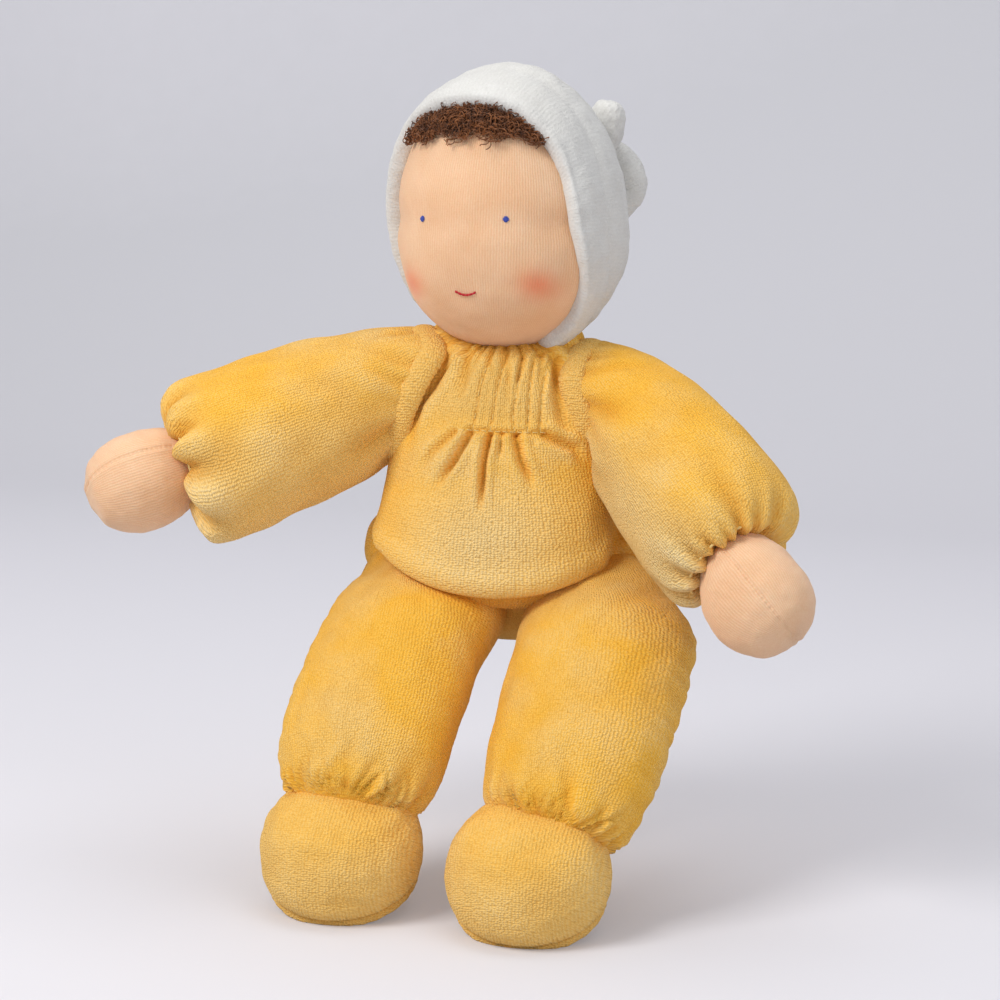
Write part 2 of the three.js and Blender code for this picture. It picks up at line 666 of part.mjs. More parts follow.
// A band round the ankle `margin` out from the leg's end, wide enough that two of them half the
// foot's flex apart still meet.
function ankleBand(side, margin) {
  const across = side.out * ANKLE_OUT;
  const reach = THREAD + (ANKLE_THICKNESS / 2 + margin) * Math.tan(degToRad(FOOT_FLEX / 2));
  return loft([-reach, reach].map((offset) => [
    ANKLE_TIE_AT + offset, ANKLE_WIDTH / 2 + margin, ANKLE_THICKNESS / 2 + margin, across, 0]), AROUND_LIMB);
}

// Foot, about the ankle centre with the sole level

function footForm(inset, grow = 0) {
  const sole = FLOOR - ankleHeight;
  const keys = [
    [sole, FOOT_WIDTH * 0.43, FOOT_LENGTH * 0.43, 0, FOOT_Y],
    [sole + SOLE_THICKNESS, FOOT_WIDTH * 0.49, FOOT_LENGTH * 0.49, 0, FOOT_Y],
    [sole * 0.55, FOOT_WIDTH / 2, FOOT_LENGTH / 2, 0, FOOT_Y],
    [sole * 0.18, FOOT_WIDTH * 0.41, FOOT_LENGTH * 0.4, 0, FOOT_Y * 0.9],
    [3, FOOT_WIDTH * 0.2, FOOT_LENGTH * 0.18, 0, FOOT_Y * 0.7],
  ];
  const rings = ringsThrough(keys, 6, inset - grow);
  rings[0][0] += inset;
  rings.at(-1)[0] -= inset;
  return loft(rings, AROUND_LIMB + 2);
}

const ankleHeight = new THREE.Vector3(0, 0, ANKLE_AT).applyMatrix4(legFrame(sides[0])).z;

function footPieces(side) {
  const legMatrix = legFrame(side);
  const ankle = new THREE.Vector3(side.out * ANKLE_OUT, 0, ANKLE_AT).applyMatrix4(legMatrix);
  const toFoot = legMatrix.clone();
  toFoot.elements[12] -= ankle.x;
  toFoot.elements[13] -= ankle.y;
  toFoot.elements[14] -= ankle.z;
  const tied = ankleBand(side, TIE_LAID + THREAD / 2 + TURN_GAP);
  const leg = moved(legForm(side, -TURN_GAP).add(tied), toFoot);
  const room = [-FOOT_FLEX, 0, FOOT_FLEX]
    .map((angle) => moved(leg, new THREE.Matrix4().makeRotationX(degToRad(angle))))
    .reduce((all, one) => all.add(one));
  const seam = FLOOR - ankle.z + SOLE_THICKNESS;
  const far = 2 * FOOT_LENGTH;
  const aboveSeam = block([-far, -far, seam], [far, far, far]);
  const belowSeam = block([-far, -far, -far], [far, far, seam - REST_GAP]);
  const upper = footForm(0).subtract(footForm(VELOUR)).intersect(aboveSeam).subtract(room);
  const instep = block([-far, -far, seam], [far, far, -ANKLE_THICKNESS / 2 - 2 * TURN_GAP]);
  const stuffing = footForm(VELOUR + REST_GAP).intersect(instep);
  const sole = footForm(0, SEAM_STANDS).intersect(belowSeam);
  const foot = new THREE.Group();
  foot.position.copy(ankle);
  foot.add(
    named(`${side.name}_foot_upper`, upper, 'velour'),
    named(`${side.name}_foot_sole`, sole, 'velour'),
    named(`${side.name}_foot_stuffing`, stuffing, 'wool'),
  );
  return foot;
}

function legPieces(side) {
  const out = side.out * ANKLE_OUT;
  const hole = shifted(rod(ANKLE_AT, ANKLE_AT + ANKLE_THICKNESS, ANKLE_THICKNESS / 4, AROUND_LIMB), out, 0, 0);
  const cover = legForm(side, 0).subtract(legForm(side, VELOUR)).subtract(hole);
  const stuffing = legForm(side, VELOUR + REST_GAP);
  const tie = shifted(threadRing(
    ANKLE_TIE_AT, ANKLE_WIDTH / 2 + TIE_LAID, ANKLE_THICKNESS / 2 + TIE_LAID, 0, THREAD, AROUND_LIMB), out, 0, 0);
  const leg = new THREE.Group();
  leg.applyMatrix4(legFrame(side));
  leg.add(
    named(`${side.name}_leg`, cover, 'velour'),
    named(`${side.name}_leg_stuffing`, stuffing, 'wool'),
    named(`${side.name}_ankle_thread`, tie, 'thread'),
  );
  return leg;
}

// Assembly

const doll = new THREE.Group();
doll.add(...bodyPieces());

const neck = new THREE.Group();
neck.position.copy(headCentre);
neck.rotation.z = degToRad(HEAD_REST_TURN);
neck.add(...neckPieces(), ...headPieces());
doll.add(neck);

for (const side of sides) {
  doll.add(armholeSeam(side), armPieces(side), legPieces(side), footPieces(side));
}

export default doll;
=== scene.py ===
"""A seated soft doll: every cloth, yarn and thread piece that shows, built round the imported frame."""

import json
import math

import bpy
import numpy as np
from mathutils import Matrix, Vector


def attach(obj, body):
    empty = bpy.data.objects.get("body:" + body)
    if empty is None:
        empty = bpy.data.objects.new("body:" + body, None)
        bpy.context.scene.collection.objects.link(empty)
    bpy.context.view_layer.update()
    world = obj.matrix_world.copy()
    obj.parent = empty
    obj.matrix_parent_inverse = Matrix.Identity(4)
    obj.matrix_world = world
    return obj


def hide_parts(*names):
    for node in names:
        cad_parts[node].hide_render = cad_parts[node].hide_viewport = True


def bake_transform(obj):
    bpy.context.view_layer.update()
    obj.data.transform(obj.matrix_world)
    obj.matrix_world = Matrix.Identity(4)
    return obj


bl_info = {
    "name": "Soft doll",
    "version": (1, 0, 0),
    "blender": (4, 5, 0),
    "location": "View3D > Sidebar > Doll",
    "description": "Builds a seated cloth doll from the packed frame",
    "category": "Add Mesh",
}

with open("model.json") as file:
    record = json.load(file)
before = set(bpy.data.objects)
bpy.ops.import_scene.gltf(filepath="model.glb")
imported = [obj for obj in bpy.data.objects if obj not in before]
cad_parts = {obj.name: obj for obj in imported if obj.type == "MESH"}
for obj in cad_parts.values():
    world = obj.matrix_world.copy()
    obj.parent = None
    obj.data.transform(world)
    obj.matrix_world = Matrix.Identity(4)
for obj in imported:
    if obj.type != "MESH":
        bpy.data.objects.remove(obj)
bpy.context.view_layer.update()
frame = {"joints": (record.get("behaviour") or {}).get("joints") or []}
MM = 0.001
TURN = 2 * math.pi
SIDES = (("left", 1.0), ("right", -1.0))


# Numbers and places

def linear(code):
    """Linear colour of an sRGB hex code."""
    parts = [int(code[i:i + 2], 16) / 255 for i in (1, 3, 5)]
    return [c / 12.92 if c <= 0.04045 else ((c + 0.055) / 1.055) ** 2.4 for c in parts]


def joint(name):
    return next(j for j in frame["joints"] if j["name"] == name)


def place_of(name):
    """A joint's point, in millimetres."""
    return np.array(joint(name)["pos_m"]) / MM


def unit(v):
    return np.asarray(v, float) / np.linalg.norm(v)


def units(rows):
    """Each row, made one long."""
    return rows / np.maximum(np.linalg.norm(rows, axis=1, keepdims=True), 1e-9)


def columns(*parts):
    """The parts side by side, in one row for each point."""
    return np.stack(np.broadcast_arrays(*parts), -1)


def turns(count, closed=False):
    """Angles all the way round; a closed path ends where it starts."""
    return np.linspace(0, TURN, count, endpoint=closed)


def wrapped(angle):
    """The same angle within half a turn of 0."""
    return (angle + math.pi) % TURN - math.pi


def smooth(x, low, high):
    t = np.clip((np.asarray(x, float) - low) / (high - low), 0, 1)
    return t * t * (3 - 2 * t)


def bell(x, wide):
    """1 where x is 0, and next to nothing from twice `wide` on."""
    return np.exp(-(x / wide) ** 2)


class Place:
    """A frame of its own: an origin and three axes, in millimetres of the row frame."""

    def __init__(self, origin, x, y, z):
        self.origin = np.asarray(origin, float)
        self.axes = np.array([x, y, z], float)

    def out(self, points):
        return self.origin + np.asarray(points, float) @ self.axes

    def into(self, points):
        return (np.asarray(points, float) - self.origin) @ self.axes.T


def arm_place(side):
    """Origin at the shoulder, Z along the arm, X up and out, Y the axis that lifts the arm."""
    shoulder = place_of(f"{side}_arm_lift")
    along = unit(place_of(f"{side}_hand_flex") - shoulder)
    lift = unit(joint(f"{side}_arm_lift")["axis"])
    return Place(shoulder, np.cross(lift, along), lift, along)


def leg_place(side):
    """Origin at the hip, Z down along the leg, X across, Y up and forward."""
    hip = place_of(f"{side}_leg_swing")
    run = place_of(f"{side}_foot_flex") - hip
    along = unit([0, run[1], run[2]])
    return Place(hip, [1, 0, 0], np.cross(along, [1, 0, 0]), along)


def head_place():
    """Origin at the middle of the head ball, turned as the head is."""
    nod = unit(joint("head_nod")["axis"])
    return Place(place_of("head_nod"), nod, np.cross([0, 0, 1], nod), [0, 0, 1])


def through(keys, count):
    """Rows on a smooth curve through the key rows, whose first column is the way along."""
    keys = np.asarray(keys, float)
    x = keys[:, 0]
    slope = np.gradient(keys, x, axis=0)
    at = np.linspace(x[0], x[-1], count)
    i = np.clip(np.searchsorted(x, at, side="right") - 1, 0, len(x) - 2)
    h = (x[i + 1] - x[i])[:, None]
    t = ((at - x[i]) / h[:, 0])[:, None]
    return ((2 * t**3 - 3 * t**2 + 1) * keys[i] + (t**3 - 2 * t**2 + t) * slope[i] * h
            + (-2 * t**3 + 3 * t**2) * keys[i + 1] + (t**3 - t**2) * slope[i + 1] * h)


def waves(points, length, seed):
    """Smooth noise from -1 to 1 whose lumps are about `length` across."""
    rng = np.random.default_rng(seed)
    total = np.zeros(len(points))
    for octave in range(3):
        for _ in range(5):
            turn = rng.normal(size=3)
            turn *= TURN * 2**octave / (length * np.linalg.norm(turn))
            total += np.sin(points @ turn + rng.uniform(0, TURN)) / (5 * 1.6**octave)
    return total


# Meshes

def new_object(name, points, faces):
    """A smooth mesh object from millimetre points."""
    mesh = bpy.data.meshes.new(name)
    mesh.from_pydata((np.asarray(points) * MM).tolist(), [], faces)
    mesh.shade_smooth()
    obj = bpy.data.objects.new(name, mesh)
    bpy.context.scene.collection.objects.link(obj)
    return obj


def quads(rows, beyond):
    """Faces from closed rows of point numbers to the row beyond each."""
    return columns(rows, np.roll(rows, -1, 1), np.roll(beyond, -1, 1), beyond).reshape(-1, 4).tolist()


def loft(rings):
    """(points, faces) of a closed skin over rows of rings, with a fan to a centre point at each end."""
    rows, around, _ = rings.shape
    number = np.arange(rows * around).reshape(rows, around)
    faces = quads(number[:-1], number[1:])
    foot = rows * around
    last = foot - around
    for i in range(around):
        j = (i + 1) % around
        faces += [(foot, j, i), (foot + 1, last + i, last + j)]
    return np.vstack([rings.reshape(-1, 3), rings[0].mean(0), rings[-1].mean(0)]), faces


def joined(parts):
    """Several (points, faces) as one."""
    points, faces, start = [], [], 0
    for some, these in parts:
        points.append(some)
        faces += [[i + start for i in face] for face in these]
        start += len(some)
    return np.vstack(points), faces


def sections(keys, count, around, square=2.0):
    """Rings round Z from keys [z, half width, half depth, x, y]; a higher `square` is boxier."""
    c, s = np.cos(turns(around)), np.sin(turns(around))
    across = np.sign(c) * np.abs(c) ** (2 / square)
    ahead = np.sign(s) * np.abs(s) ** (2 / square)
    return np.stack([columns(x + w * across, y + d * ahead, z) for z, w, d, x, y in through(keys, count)])


def egg(centre, half, around=32, rows=17):
    """(points, faces) of an ellipsoid."""
    polar = np.linspace(-0.5, 0.5, rows)[1:-1] * math.pi
    ring = columns(np.cos(turns(around)), np.sin(turns(around)), 0)
    rings = np.stack([ring * math.cos(p) + [0, 0, math.sin(p)] for p in polar])
    points, faces = loft(rings * np.array(half, float) + centre)
    points[-2:, 2] = centre[2] - half[2], centre[2] + half[2]
    return points, faces


def baked(obj):
    """Applies the object's modifiers."""
    shaped = obj.evaluated_get(bpy.context.evaluated_depsgraph_get())
    mesh = bpy.data.meshes.new_from_object(shaped)
    old = obj.data
    obj.modifiers.clear()
    obj.data = mesh
    bpy.data.meshes.remove(old)
    mesh.shade_smooth()


def finer(obj, levels):
    """Subdivides the mesh into smoother, smaller faces."""
    divide = obj.modifiers.new("finer", "SUBSURF")
    divide.levels = divide.render_levels = levels
    baked(obj)


def points_of(obj):
    co = np.empty(len(obj.data.vertices) * 3)
    obj.data.vertices.foreach_get("co", co)
    return co.reshape(-1, 3) / MM


def set_points(obj, points):
    obj.data.vertices.foreach_set("co", (points * MM).ravel())
    obj.data.update()


def kept(obj, name, values, low=0, high=1):
    """Keeps a number at each point, for the material."""
    layer = obj.data.attributes.new(name, "FLOAT", "POINT")
    layer.data.foreach_set("value", np.clip(values, low, high).astype(np.float32))


def raised(obj, heights, depths=None):
    """Moves each point along its normal, and keeps how deep it lies in a fold, for painted shade."""
    normals = np.empty(len(obj.data.vertices) * 3)
    obj.data.vertex_normals.foreach_get("vector", normals)
    set_points(obj, points_of(obj) + normals.reshape(-1, 3) * heights[:, None])
    kept(obj, "fold", -(heights if depths is None else depths), -1, 3)


def stuffed(obj, voxel, pressure, cap, levels):
    """One soft skin over the piece's forms, swollen by its stuffing, then made finer."""
    skin = obj.modifiers.new("skin", "REMESH")
    skin.mode = "VOXEL"
    skin.voxel_size = voxel * MM
    ease = obj.modifiers.new("ease", "SMOOTH")
    ease.factor = 0.5
    ease.iterations = 3
    baked(obj)
    if pressure:
        start = points_of(obj)
        scene = bpy.context.scene
        fill = obj.modifiers.new("fill", "CLOTH")
        fill.settings.use_pressure = True
        fill.settings.uniform_pressure_force = pressure
        fill.settings.effector_weights.gravity = 0
        fill.point_cache.frame_start = 1
        fill.point_cache.frame_end = 20
        for step in range(1, 21):
            scene.frame_set(step)
        baked(obj)
        scene.frame_set(1)
        move = points_of(obj) - start
        far = np.linalg.norm(move, axis=1, keepdims=True)
        set_points(obj, start + move * np.minimum(1, cap / np.maximum(far, 1e-9)))
    finer(obj, levels)


def near_path(points, path):
    """Distance from each point to a path, and how far along the path it is, from 0 to 1."""
    path = np.asarray(path, float)
    seg = np.diff(path, axis=0)
    length = np.linalg.norm(seg, axis=1)
    reach = np.concatenate([[0], np.cumsum(length)])
    best = np.full(len(points), 1e9)
    along = np.zeros(len(points))
    for a, d, n, r in zip(path[:-1], seg, length, reach):
        t = np.clip(((points - a) @ d) / n**2, 0, 1)
        far = np.linalg.norm(points - a - t[:, None] * d, axis=1)
        closer = far < best
        best = np.where(closer, far, best)
        along = np.where(closer, (r + t * n) / reach[-1], along)
    return best, along


def crease(points, path, width, depth, swell=0.35, ends=(0.12, 0.35)):
    """A fold pressed in along a path, with the cloth swelling beside it; it fades out at its ends."""
    far, along = near_path(points, path)
    fade = smooth(along, -0.001, ends[0]) * (1 - smooth(along, 1 - ends[1], 1.001))
    return depth * fade * (swell * bell(far - 2.2 * width, 1.2 * width) - bell(far, width))


def drawn_in(off, half, swell):
    """The outline across one gathered fold, which swells on both sides."""
    return swell * bell(np.abs(off) - 2 * half, half) - bell(off, half)


def gathers(turn, along, count, seed, depth, reach):
    """Folds that run in from an edge at along = 0, round a tube; each has its own length and depth."""
    rng = np.random.default_rng(seed)
    total = np.zeros(len(turn))
    for i in range(count):
        centre = (i + rng.uniform(-0.35, 0.35)) * TURN / count
        half = TURN / count * rng.uniform(0.16, 0.3)
        far = reach * rng.uniform(0.55, 1.25)
        lean = rng.uniform(-0.25, 0.25)
        off = wrapped(turn - centre - lean * along / reach)
        total += depth * rng.uniform(0.6, 1.2) * bell(np.maximum(along, 0), far) * drawn_in(off, half, 0.4)
    return total


def cloth_grain(obj, across, down, radius=None):
    """Lays the cloth's own millimetre coordinates on the mesh as its UV map.

    With a radius, `across` is an angle, and each face stays whole where the angle starts again."""
    mesh = obj.data
    index = np.empty(len(mesh.loops), dtype=np.int64)
    mesh.loops.foreach_get("vertex_index", index)
    loops = columns(across * (radius or 1), down)[index]
    if radius:
        starts = np.empty(len(mesh.polygons), dtype=np.int64)
        totals = np.empty(len(mesh.polygons), dtype=np.int64)
        mesh.polygons.foreach_get("loop_start", starts)
        mesh.polygons.foreach_get("loop_total", totals)
        first = np.repeat(loops[starts, 0], totals)
        order = np.concatenate([np.arange(s, s + t) for s, t in zip(starts, totals)])
        girth = TURN * radius
        loops[order, 0] -= girth * np.round((loops[order, 0] - first) / girth)
    layer = mesh.uv_layers.new(name="cloth")
    layer.data.foreach_set("uv", loops.astype(np.float32).ravel())


def yarn(paths, radius, sides=5):
    """(points, faces) of tubes along several millimetre paths."""
    parts = []
    c, s = np.cos(turns(sides))[None, :, None], np.sin(turns(sides))[None, :, None]
    for path in paths:
        ahead = units(np.gradient(np.asarray(path, float), axis=0))
        across = units(np.cross(ahead, [0.31, 0.17, 0.93]))
        other = np.cross(ahead, across)
        parts.append(loft(path[:, None] + radius * (c * across[:, None] + s * other[:, None])))
    return joined(parts)


# Materials

def add(tree, kind, inputs=(), stops=(), **settings):
    """Adds a node with its settings, links and colour stops, and gives its first output."""
    node = tree.nodes.new("ShaderNode" + kind)
    for key, value in settings.items():
        setattr(node, key, value)
    for key, value in inputs.items() if isinstance(inputs, dict) else enumerate(inputs):
        if isinstance(value, bpy.types.NodeSocket):
            tree.links.new(value, node.inputs[key])
        else:
            node.inputs[key].default_value = value
    for i, (place, colour) in enumerate(stops):
        element = node.color_ramp.elements[i] if i < 2 else node.color_ramp.elements.new(place)
        element.position = place
        element.color = (*colour, 1)
    return node.outputs[0]


def weighed(tree, base, *parts):
    """The base plus each (source, weight) product."""
    for source, weight in parts:
        base = add(tree, "Math", [source, weight, base], operation="MULTIPLY_ADD")
    return base


def ribs(tree, across, spacing):
    """Even ribs, from -1 to 1, `spacing` apart."""
    return add(tree, "Math", [weighed(tree, 0.0, (across, TURN / spacing))], operation="SINE")


def cloth_axes(tree, scale, detail, amount):
    """Millimetres across the cloth, with the slight waver of its rows, and down it."""
    uv = add(tree, "UVMap", uv_map="cloth")
    apart = add(tree, "SeparateXYZ", [uv]).node.outputs
    waver = add(tree, "TexNoise", {"Vector": uv, "Scale": scale, "Detail": detail})
    return weighed(tree, apart[0], (waver, amount)), apart[1]


def blank(name):
    """An empty material with the place in the piece, in metres, and its Principled shader."""
    material = bpy.data.materials.new(name)
    material.use_nodes = True
    tree = material.node_tree
    tree.nodes.clear()
    surface = add(tree, "BsdfPrincipled")
    tree.links.new(surface, tree.nodes.new("ShaderNodeOutputMaterial").inputs[0])
    return material, tree, add(tree, "TexCoord").node.outputs["Object"], surface.node


def finish(shader, colour, bump=None, **constants):
    """Links the colour and the bump to the shader, and sets its constants."""
    tree = shader.id_data
    tree.links.new(colour, shader.inputs["Base Color"])
    if bump:
        tree.links.new(add(tree, "Bump", bump), shader.inputs["Normal"])
    for key, value in constants.items():
        shader.inputs[key.replace("_", " ")].default_value = value


def velour_material(name, colours, sizes):
    """Knitted cotton velour, its loops cut and brushed.

    The eye sees rows of short tufts, deep and warm between them and pale at their tips. Where the pile
    has been brushed up it is paler and stands up more; the same paler pile is painted sheen on faces
    turned from the key lamp, and the folds are painted shade. It has a soft sheen and no gloss."""
    material, tree, place, shader = blank(name)
    across, down = cloth_axes(tree, 0.12, 2.0, 1.6)
    rows = weighed(tree, 0.0, (across, MM / sizes.velour_wale))
    tuft_run = weighed(tree, 0.0, (down, MM / sizes.velour_course))
    grid = add(tree, "CombineXYZ", [rows, tuft_run])
    cells = {"Vector": grid, "Scale": 1.0, "Randomness": 0.65}
    tuft = add(tree, "TexVoronoi", cells, voronoi_dimensions="2D")
    tufts = weighed(tree, 1.0, (tuft, -1.5), (ribs(tree, rows, 1.0), 0.15))
    # The pile's noise has lumps of 1.1 mm: fibre ends are finer, and are drawn coarser so that they show.
    pile = add(tree, "TexNoise", {"Vector": place, "Scale": 900.0, "Detail": 4.0, "Roughness": 0.75})
    # Strokes of the brush leave patches some 40 mm across.
    brushed = add(tree, "TexNoise", {"Vector": place, "Scale": 26.0, "Detail": 3.0, "Roughness": 0.55})
    # Painted shade: the cloth is darker the deeper it lies in a fold, and a little lighter where it stands
    # proud.
    fold = add(tree, "Attribute", attribute_name="fold").node.outputs["Fac"]
    # The mask read here is partly pile brushed up and partly painted sheen on faces turned from the key lamp;
    # where it is high, the paler ramp is used.
    ruffled_and_sheen = add(tree, "Attribute", attribute_name="ruffled_and_sheen").node.outputs["Fac"]
    shade = weighed(tree, 0.2, (tufts, 0.22), (pile, 0.36), (fold, -0.1))
    flat = add(tree, "ValToRGB", [shade], [
        (0.15, colours.velour_deep), (0.5, colours.velour), (0.8, colours.velour_pale)])
    raised_pile_and_sheen = add(tree, "ValToRGB", [shade], [
        (0.2, colours.ruffled_and_sheen_deep), (0.5, colours.ruffled_and_sheen), (0.8, colours.ruffled_and_sheen_pale)])
    patch = add(tree, "MapRange", [brushed, 0.42, 0.68, 0.0, 0.45])
    patch = add(tree, "Math", [patch, ruffled_and_sheen], operation="MAXIMUM")
    colour = add(tree, "Mix", {0: patch, 6: flat, 7: raised_pile_and_sheen}, data_type="RGBA").node.outputs[2]
    bump = {"Strength": weighed(tree, 0.6, (patch, 0.4)), "Distance": 0.00075,
            "Height": weighed(tree, 0.0, (pile, 0.25), (tufts, 0.8))}
    finish(shader, colour, bump, Roughness=0.95, Specular_IOR_Level=0.1, Sheen_Weight=0.32,
           Sheen_Roughness=0.3, Sheen_Tint=(1.0, 0.82, 0.45, 1))
    return material


def tricot_material(name, colours, sizes):
    """Knitted cotton tricot, stretched over wool.

    The eye sees fine wales running down, faint lumps of the wool under them, and a matt, warm skin tone
    that light enters a little. The cheeks are rubbed with red."""
    material, tree, place, shader = blank(name)
    across, down = cloth_axes(tree, 0.25, 3.0, 0.8)
    wale = sizes.tricot_wale / MM
    knit = weighed(tree, ribs(tree, across, wale), (ribs(tree, down, wale / 1.15), 0.12))
    # Lumps of 0.6 mm for the fibres, drawn coarser than real ones so that they show.
    fibre = add(tree, "TexNoise", {"Vector": place, "Scale": 1700.0, "Detail": 3.0})
    # Lumps of 17 mm for the wool.
    lumps = add(tree, "TexNoise", {"Vector": place, "Scale": 60.0, "Detail": 3.0})
    shade = weighed(tree, 0.18, (knit, 0.08), (fibre, 0.32), (lumps, 0.35))
    skin = add(tree, "ValToRGB", [shade], [
        (0.2, colours.skin_deep), (0.5, colours.skin), (0.85, colours.skin_pale)])
    blush = add(tree, "Attribute", attribute_name="blush").node.outputs["Fac"]
    soft = weighed(tree, 0.0, (blush, weighed(tree, 0.62, (fibre, 0.7))))
    colour = add(tree, "Mix", {0: soft, 6: skin, 7: (*colours.blush, 1)}, data_type="RGBA").node.outputs[2]
    bump = {"Strength": 0.45, "Distance": 0.0003, "Height": weighed(tree, 0.0, (fibre, 0.4), (knit, 0.32))}
    finish(shader, colour, bump, Roughness=0.85, Specular_IOR_Level=0.2, Sheen_Weight=0.25,
           Sheen_Roughness=0.5, Subsurface_Weight=0.06, Subsurface_Scale=0.002)
    return material


def terry_material(name, colours, sizes):
    """Knitted stretch terry, washed soft.

    The eye sees faint ribs that run back from the face, under a downy, matt white surface."""
    material, tree, place, shader = blank(name)
    across, _ = cloth_axes(tree, 0.3, 2.0, 1.4)
    rows = ribs(tree, across, sizes.terry_rib / MM)
    # Lumps of 0.9 mm for the down, drawn coarser than real fibres so that it shows.
    down = add(tree, "TexNoise", {"Vector": place, "Scale": 1100.0, "Detail": 4.0, "Roughness": 0.7})
    # Lumps of 8 mm for the cloth.
    lumps = add(tree, "TexNoise", {"Vector": place, "Scale": 130.0, "Detail": 3.0})
    # Painted shade: the terry is darker the deeper it lies in a fold, and a little lighter where it stands
    # proud.
    fold = add(tree, "Attribute", attribute_name="fold").node.outputs["Fac"]
    shade = weighed(tree, 0.1, (rows, 0.03), (down, 0.5), (lumps, 0.3), (fold, -0.12))
    colour = add(tree, "ValToRGB", [shade], [
        (0.2, colours.hood_shade), (0.6, colours.hood), (0.9, colours.hood_light)])
    bump = {"Strength": 0.7, "Distance": 0.0009, "Height": weighed(tree, down, (rows, 0.06), (lumps, 0.8))}
    finish(shader, colour, bump, Roughness=0.97, Specular_IOR_Level=0.1, Sheen_Weight=0.4,
           Sheen_Roughness=0.4)
    return material


def yarn_material(name, colours, sizes, tone, sheen, scale):
    """Spun yarn or thread: its fibres catch the light, and it is darker in its grooves."""
    material, tree, place, shader = blank(name)
    fibre = add(tree, "TexNoise", {"Vector": place, "Scale": scale, "Detail": 3.0, "Roughness": 0.7})
    tones = [(0.3, getattr(colours, tone + "_deep")), (0.7, getattr(colours, tone))]
    colour = add(tree, "ValToRGB", [fibre], tones)
    bump = {"Strength": 0.5, "Distance": 0.0002, "Height": fibre}
    finish(shader, colour, bump, Roughness=0.75, Specular_IOR_Level=0.3, Sheen_Weight=sheen)
    return material


MATERIALS = {  # record's slot: material, its maker, and for yarns the tone, sheen and lumps per metre
    "velour": ("cotton_velour", velour_material),
    "skin_tricot": ("cotton_tricot", tricot_material),
    "hood_terry": ("ribbed_terry", terry_material),
    # Curled mohair yarn: patches of dark brown and of lighter brown, which is painted highlight, run over the
    # curls, with a faint gleam.
    "hair_boucle": ("mohair_boucle", yarn_material, "hair", 0.15, 190.0),
    # Stranded embroidery cotton: fine strands with a soft shine.
    "eye_thread": ("eye_floss", yarn_material, "eyes", 0.2, 2500.0),
    "mouth_thread": ("mouth_floss", yarn_material, "mouth", 0.2, 2500.0),
    # Spun polyester sewing thread: even, thin and nearly matt.
    "sewing_thread": ("sewing_thread", yarn_material, "thread", 0.1, 2500.0),
}


def dress(obj, slot):
    """Gives the piece the slot's material, made the first time that it is asked for."""
    name, maker, *settings = MATERIALS[slot]
    scene = bpy.context.scene
    made = bpy.data.materials.get(name) or maker(name, scene.doll_colours, scene.doll_sizes, *settings)
    obj.data.materials.clear()
    obj.data.materials.append(made)


def thread(name, paths, radius, body, node, slot="sewing_thread", sides=5):
    """A piece of yarn or thread that rides on a body and stands for a node."""
    obj = new_object(name, *yarn(paths, radius, sides))
    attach(obj, body)
    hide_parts(node)
    dress(obj, slot)


def bend(obj):
    """Bakes the piece's placement into its points."""
    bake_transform(obj)


# Body

SHOULDER_HEIGHT = 98.0
NECK_Y = -12.0
HEAD_DISH = 45.0
COLLAR_DROP = 12.0
TRUNK = [  # height, half width, half depth, x, y
    (15.5, 27, 20, 1, -27), (20, 38, 28, 1, -25), (28, 46, 33.5, 0, -23.5), (38, 49, 35.5, 0, -22),
    (52, 49, 35, 0, -20), (66, 47.5, 32.5, 0, -16.5), (84, 45, 29.5, 0, -13.5), (100, 41, 26.5, 0, -12.5),
    (112, 36, 24.5, 0, -12), (120, 32.5, 23.5, 0, -12), (127, 30.5, 22.5, 0, -12),
]
# Paths down the chest are (x, height) points.
TUCKS = [
    [(-1, 119), (-4.5, 106), (-6.3, 88)],
    [(4.8, 119), (2.1, 104), (0.9, 88)],
    [(10.5, 118), (10, 104), (9.3, 94), (10.5, 88)],
    [(15.5, 118), (15, 104), (15.5, 88)],
    [(21.3, 118), (19.8, 104), (20.1, 88)],
]
BAR = [(-12, 88.4), (5, 87.6), (22, 88)]
PLEATS = [  # path, width, depth
    ([(-6.3, 88), (-11.7, 77), (-21, 64)], 1.5, 3.4),
    ([(1.2, 88), (-0.2, 76), (-0.4, 55)], 1.3, 4.0),
    ([(5.5, 88), (5.5, 76)], 1.0, 1.6),
    ([(10.8, 88), (13.6, 78), (21, 65)], 1.5, 3.4),
    ([(20.5, 88), (33.5, 82), (38, 74)], 1.7, 2.6),
    ([(-12, 88), (-22, 79), (-29, 69)], 1.5, 1.6),
    # valleys beside the armholes and the collar
    ([(-20, 118), (-21, 112), (-25, 104), (-30, 97), (-33, 86), (-35, 74)], 2.0, 2.0),
    ([(24, 118), (24.5, 108), (28, 94), (32, 84)], 2.0, 2.2),
    ([(-11, 119), (-13, 108), (-15, 100)], 1.8, 1.3),
    ([(17, 119), (17.5, 112)], 1.4, 1.0),
]


def collar_drop(y):
    """How much lower the collar is under the chin."""
    return COLLAR_DROP * smooth(-y, 14, 34)


def body_skin():
    """The trunk from the seat to the collar, before its folds."""
    trunk = loft(sections(TRUNK, 36, 64, 2.2))
    seat = egg((0, 1, 23), (57, 29, 25), 64, 33)
    hips = [egg((side * 44.5, -10, 34), (16, 17, 17)) for _, side in SIDES]
    points, faces = joined([trunk, seat, *hips])
    _, y, z = points.T
    points[:, 2] = np.maximum(z - collar_drop(y) * smooth(z, 100, 126), 0.2)
    return points, faces


